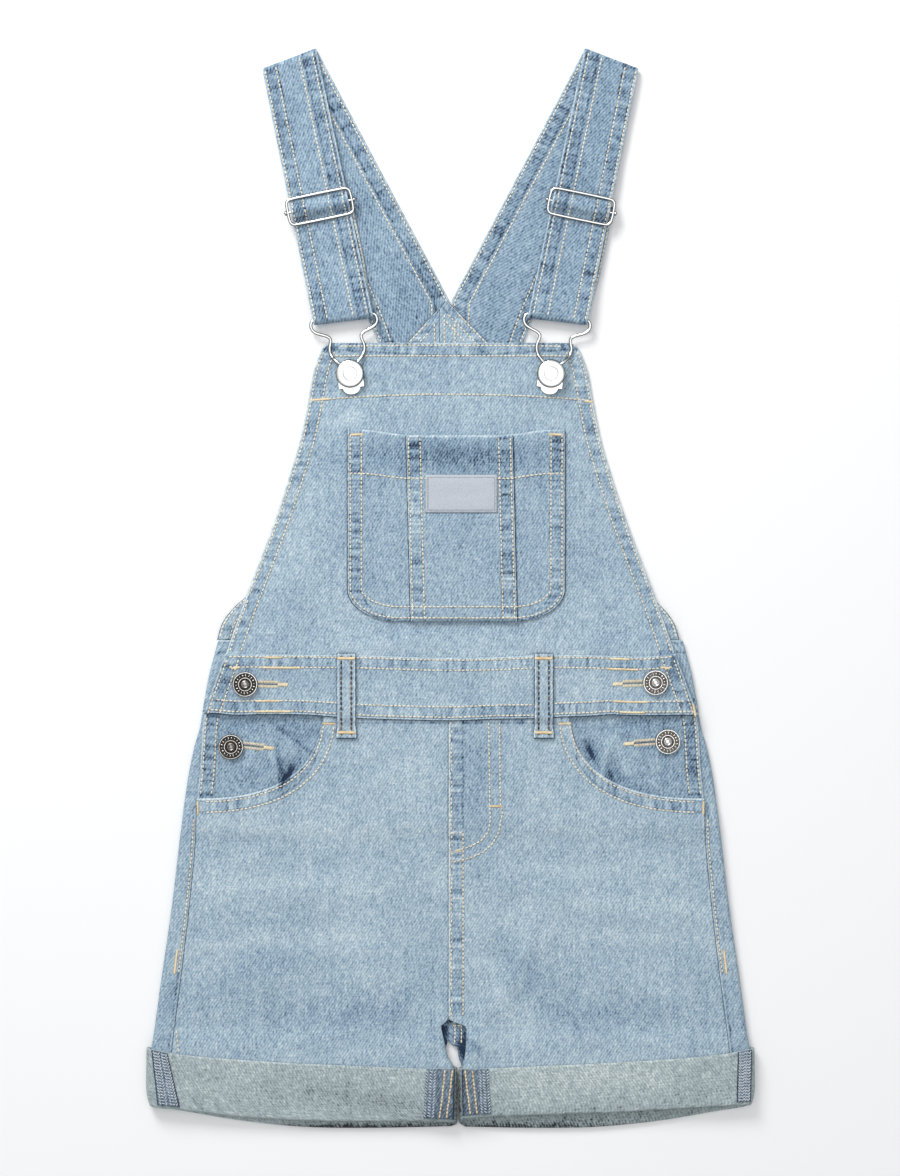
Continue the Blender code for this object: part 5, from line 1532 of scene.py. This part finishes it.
BUTTON_DOWN = 34.0
PLATE_THICK = 1.0
PLATE_STAND = 0.5
WIRE_CLEAR = 0.3
WIRE_RADIUS = 1.0
PLATE_SHOULDER = 6.2
PLATE_HALF = 8.4
WING_DOWN = 9.2
TONGUE_ACROSS = 5.7
TONGUE_DOWN = 4.3
SHANK_RADIUS = 2.4
SHANK_HOLE = 3.2
BAR_HEIGHT = STRAP_BEHIND + FOOT_TURN
BAR_DOWN = -(FOOT_TURN + STRAP_CLOTH / 2)
# Half of the wire: across, down, and how far it has risen over the bib and then over the plate
BUCKLE_HALF = [
    (0, BAR_DOWN, 0, 0), (18, BAR_DOWN, 0, 0), (20.4, BAR_DOWN + 0.6, 0, 0), (21.5, -0.6, 0, 0),
    (21.4, 2, 0, 0), (19.6, 4.5, 0, 0), (15.6, 6.5, 0.2, 0), (11.6, 8.3, 0.5, 0), (10.1, 10.1, 0.8, 0),
    (10.3, 12.4, 1, 0), (11.2, 15.4, 1, 0), (11.3, 18.4, 1, 0), (10.3, 21.6, 1, 0.2),
    (8.2, 24.6, 1, 0.8), (5.6, 27.4, 1, 1), (4.5, 30.5, 1, 1), (4.5, 35.5, 1, 1), (3, 38.4, 1, 1),
    (0, 39.3, 1, 1),
]


def at_buckle(side, across, down):
    """A point on the surface, by its distance across from and down from the middle of the foot."""
    line = (STRAP_FOOT[1] - STRAP_FOOT[0]).normalized()
    way = Vector((line.y, -line.x))
    plan = (STRAP_FOOT[0] + STRAP_FOOT[1]) / 2 + way * down + line * across
    return Vector((-side * plan.x, plan.y, 0))


def bib_surface(place):
    return rest(place.x, place.y) + CLOTH


def plate_top(side):
    """The top of the button's plate, which clears the highest place of the bib under it."""
    downs = (-PLATE_SHOULDER, 0, WING_DOWN, WING_DOWN + TONGUE_DOWN)
    spots = [at_buckle(side, a, BUTTON_DOWN + d) for a in (-PLATE_HALF, 0, PLATE_HALF) for d in downs]
    return max(bib_surface(spot) for spot in spots) + PLATE_STAND + PLATE_THICK


plate_metal = metal("plate_metal", (0.93, 0.93, 0.92), (0.08, 0.08, 0.085), 0.2, 0.4)
for label, side in SIDES.items():
    bends = BUCKLE_HALF + [(-across, *rest_of) for across, *rest_of in reversed(BUCKLE_HALF[1:-1])]
    points = []
    for across, down, over_bib, over_plate in bends:
        spot = at_buckle(side, across, down)
        on_bib = bib_surface(at_buckle(side, across, max(down, 16))) + WIRE_CLEAR + WIRE_RADIUS
        on_plate = plate_top(side) + WIRE_CLEAR + WIRE_RADIUS
        spot.z = mix(mix(BAR_HEIGHT, on_bib, over_bib), on_plate, over_plate)
        points.append(spot)
    buckle = bent_wire("buckle_wire_" + label, points, WIRE_RADIUS, bright_wire)
    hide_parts("buckle_" + label)

    wing = [(PLATE_SHOULDER, -PLATE_SHOULDER), (PLATE_SHOULDER, -1), (PLATE_HALF, 5.2),
            (PLATE_HALF, WING_DOWN)]
    tongue = []
    for k in range(15):
        turn = math.pi * k / 14
        tongue.append((TONGUE_ACROSS * math.cos(turn), WING_DOWN + TONGUE_DOWN * math.sin(turn)))
    outline = wing + tongue + [(-across, down) for across, down in reversed(wing)]
    turns = [math.tau * k / 20 for k in range(20)]
    hole = [(SHANK_HOLE * math.cos(turn), SHANK_HOLE * math.sin(turn)) for turn in turns]
    curve = bpy.data.curves.new("stamped_plate_" + label, "CURVE")
    curve.dimensions = "2D"
    curve.fill_mode = "BOTH"
    curve.extrude = (PLATE_THICK / 2 - 0.25) * MM
    curve.bevel_depth = 0.25 * MM
    curve.bevel_resolution = 2
    curve.offset = -0.25 * MM
    for loop in (outline, hole):
        spline = curve.splines.new("POLY")
        spline.points.add(len(loop) - 1)
        for point, (across, down) in zip(spline.points, loop):
            spot = at_buckle(side, across, BUTTON_DOWN + down) * MM
            point.co = (spot.x, spot.y, 0, 1)
        spline.use_cyclic_u = True
    plate = curve_to_mesh("stamped_plate_" + label, curve)
    plate.data.transform(Matrix.Translation((0, 0, (plate_top(side) - PLATE_THICK / 2) * MM)))
    bpy.ops.object.shade_smooth_by_angle(angle=math.radians(35))
    keep_upward(plate)
    plate.data.materials.append(plate_metal)
    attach(plate, "root")
    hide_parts("buckle_plate_" + label)

# Bib buttons
# A bright domed cap with a turned ring, on a shank that goes through the plate and the bib.


def turned(name, place, profile, look, facets=64):
    """A round piece turned upwards: a disc, drawn up and widened or narrowed at each ring."""
    bpy.ops.object.select_all(action="DESELECT")
    radius, height = profile[0]
    bpy.ops.mesh.primitive_circle_add(vertices=facets, radius=radius * MM, fill_type="NGON")
    piece = bpy.context.object
    piece.name = name
    piece.data.transform(Matrix.Translation((0, 0, height * MM)))
    bpy.ops.object.mode_set(mode="EDIT")
    bpy.ops.mesh.select_all(action="SELECT")
    for next_radius, next_height in profile[1:]:
        rise = (0, 0, (next_height - height) * MM)
        bpy.ops.mesh.extrude_region_move(TRANSFORM_OT_translate={"value": rise})
        share = next_radius / radius
        bpy.ops.transform.resize(value=(share, share, 1), center_override=(0, 0, next_height * MM))
        radius, height = next_radius, next_height
    bpy.ops.mesh.select_all(action="SELECT")
    bpy.ops.mesh.normals_make_consistent(inside=False)
    bpy.ops.object.mode_set(mode="OBJECT")
    lows = np.array([v.co.z for v in piece.data.vertices])
    kept = piece.data.attributes.new("height", "FLOAT", "POINT")
    kept.data.foreach_set("value", (lows / MM).astype(np.float32))
    keep_upward(piece)
    piece.data.transform(Matrix.Translation(Vector(place) * MM))
    bpy.ops.object.shade_smooth_by_angle(angle=math.radians(30))
    piece.data.materials.append(look)
    return piece


button_silver = metal("button_silver", (0.96, 0.96, 0.955), (0.07, 0.07, 0.075), 0.16, 0.34)
for label, side in SIDES.items():
    place = at_buckle(side, 0, BUTTON_DOWN)
    place.z = bib_surface(place) + SEAM_GAP
    cap = plate_top(side) + 2 * (WIRE_RADIUS + WIRE_CLEAR) - place.z
    profile = [
        (4.5, 0), (4.5, 0.5), (SHANK_RADIUS, 0.7), (SHANK_RADIUS, cap), (8.7, cap), (9.1, cap + 0.12),
        (9.15, cap + 0.35), (8.95, cap + 0.75), (8.6, cap + 1.2), (8.3, cap + 1.42), (7.7, cap + 1.55),
        (6.4, cap + 1.78), (5.1, cap + 1.92), (4.75, cap + 1.8), (4.4, cap + 1.93), (3.2, cap + 2.12),
        (1.6, cap + 2.28), (0.3, cap + 2.35),
    ]
    button = turned("bib_button_cap_" + label, place, profile, button_silver)
    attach(button, "root")
    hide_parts("bib_button_" + label)

# Side buttons
# Shank buttons of aged nickel: a raised rim, a sunk ring filled with small plain studs, an inner ring
# and a domed middle. Two close each side of the waist.

# The last value lightens or darkens each button's whole cap: painted reflection, brighter on the right-hand
# buttons
SIDE_BUTTONS = [
    ("waist_button_left", -133.2, -62.5, True, -0.05), ("waist_button_right", 133.0, -61.4, True, 0.3),
    ("hip_button_left", -142.6, -103.2, False, -0.12), ("hip_button_right", 141.1, -99.8, False, 0.3),
]
BUTTON_RADIUS = 8.2
STUD_RING = 5.85
STUDS = 18
aged_nickel, shader, add = material("aged_nickel", 0.3, 1.0)
height = add.attribute("height")
spot = add.own_place()
cloud = spot.scaled(1.7 * MM, 1.7 * MM).noise(3, space="3D")
bared = height.between(1.1, 2.2) + (cloud - 0.5) * 0.6
plug(
    shader,
    Base_Color=bared.ramp((0.0, (0.035, 0.03, 0.028)), (0.4, (0.17, 0.155, 0.14)), (0.75, (0.50, 0.48, 0.45)),
                          (1, (0.86, 0.85, 0.83))),
    Roughness=0.46 - bared * 0.22,
    Normal=add.bump(cloud, 0.08, 0.4),
)
for name, x, up, on_band, painted_reflection in SIDE_BUTTONS:
    turns = [math.tau * k / 8 for k in range(8)]
    spots = [(x + BUTTON_RADIUS * math.cos(turn), up + BUTTON_RADIUS * math.sin(turn)) for turn in turns]
    top = max(rest(*spot) for spot in spots + [(x, up)])
    place = Vector((x, up, top + (BAND_LIFT if on_band else 0) + CLOTH + SEAM_GAP))
    profile = [
        (6.8, 0), (7.8, 0.2), (8.1, 0.6), (8.2, 1.0), (8.1, 1.6), (7.8, 2.0), (7.4, 2.05), (7.15, 1.7),
        (7.0, 1.15), (4.7, 1.15), (4.55, 1.7), (4.35, 2.0), (4.0, 2.0), (3.8, 1.6), (3.65, 1.1),
        (2.8, 1.1), (2.6, 1.6), (2.0, 1.85), (1.5, 1.6), (1.2, 1.75), (0.4, 1.85),
    ]
    cap = turned(name + "_cap", place, profile, aged_nickel)
    # Painted reflection: the whole cap made lighter or darker
    for point in cap.data.attributes["height"].data:
        point.value += painted_reflection
    studs = [cap]
    for k in range(STUDS):
        turn = math.tau * (k + 0.3) / STUDS
        bpy.ops.object.select_all(action="DESELECT")
        bpy.ops.mesh.primitive_uv_sphere_add(segments=8, ring_count=6, radius=0.5 * MM)
        stud = bpy.context.object
        stud.data.transform(Matrix.Diagonal((2.0 if k % 3 else 1.3, 1.1, 1.3, 1)))
        stud.data.transform(Matrix.Rotation(turn, 4, "Z"))
        spot = place + Vector((STUD_RING * math.cos(turn), STUD_RING * math.sin(turn), 1.25))
        stud.data.transform(Matrix.Translation(spot * MM))
        kept = stud.data.attributes.new("height", "FLOAT", "POINT")
        kept.data.foreach_set("value", [2.1 + painted_reflection] * len(stud.data.vertices))
        stud.data.materials.append(aged_nickel)
        bpy.ops.object.shade_smooth()
        studs.append(stud)
    button = join(studs)
    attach(button, "root")
    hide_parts(name)

# Buttonholes
# Keyhole slits worked round with close gold stitches, from under each side button towards the middle,
# with a bar tack across the far end.

BUTTONHOLES = {
    "waist_left": (-125.0, -62.2, -105.6, -62.8, band_place),
    "waist_right": (124.8, -61.6, 105.4, -62.4, band_place),
    "hip_left": (-134.6, -102.0, -114.8, -104.2, facing_place),
    "hip_right": (133.0, -99.8, 112.5, -101.4, facing_place),
}
pale_gold_thread = thread("pale_gold_thread", (0.90, 0.80, 0.58), (0.60, 0.42, 0.20))
for label, (x0, up0, x1, up1, place) in BUTTONHOLES.items():
    slit = [(mix(x0, x1, k / 6), mix(up0, up1, k / 6)) for k in range(7)]
    long_part = slit[:5]
    lips = [beside(long_part, 1.5), beside(long_part, -1.5)]
    worked = stitch_cloth("buttonhole_" + label, place, lips, pale_gold_thread, pitch=0.95, long=2.1,
                          turn=80, thick=0.85, lift=0.62)
    cut_line = stitch_cloth("buttonhole_slit_" + label, place, [long_part], dark_thread, pitch=1.0,
                            long=2.3, thick=0.5, lift=0.5)
    barred = stitch_cloth("buttonhole_end_" + label, place, [slit[4:]], pale_gold_thread, pitch=0.8,
                          long=3.2, turn=72, thick=0.9, lift=0.75, seed=7)
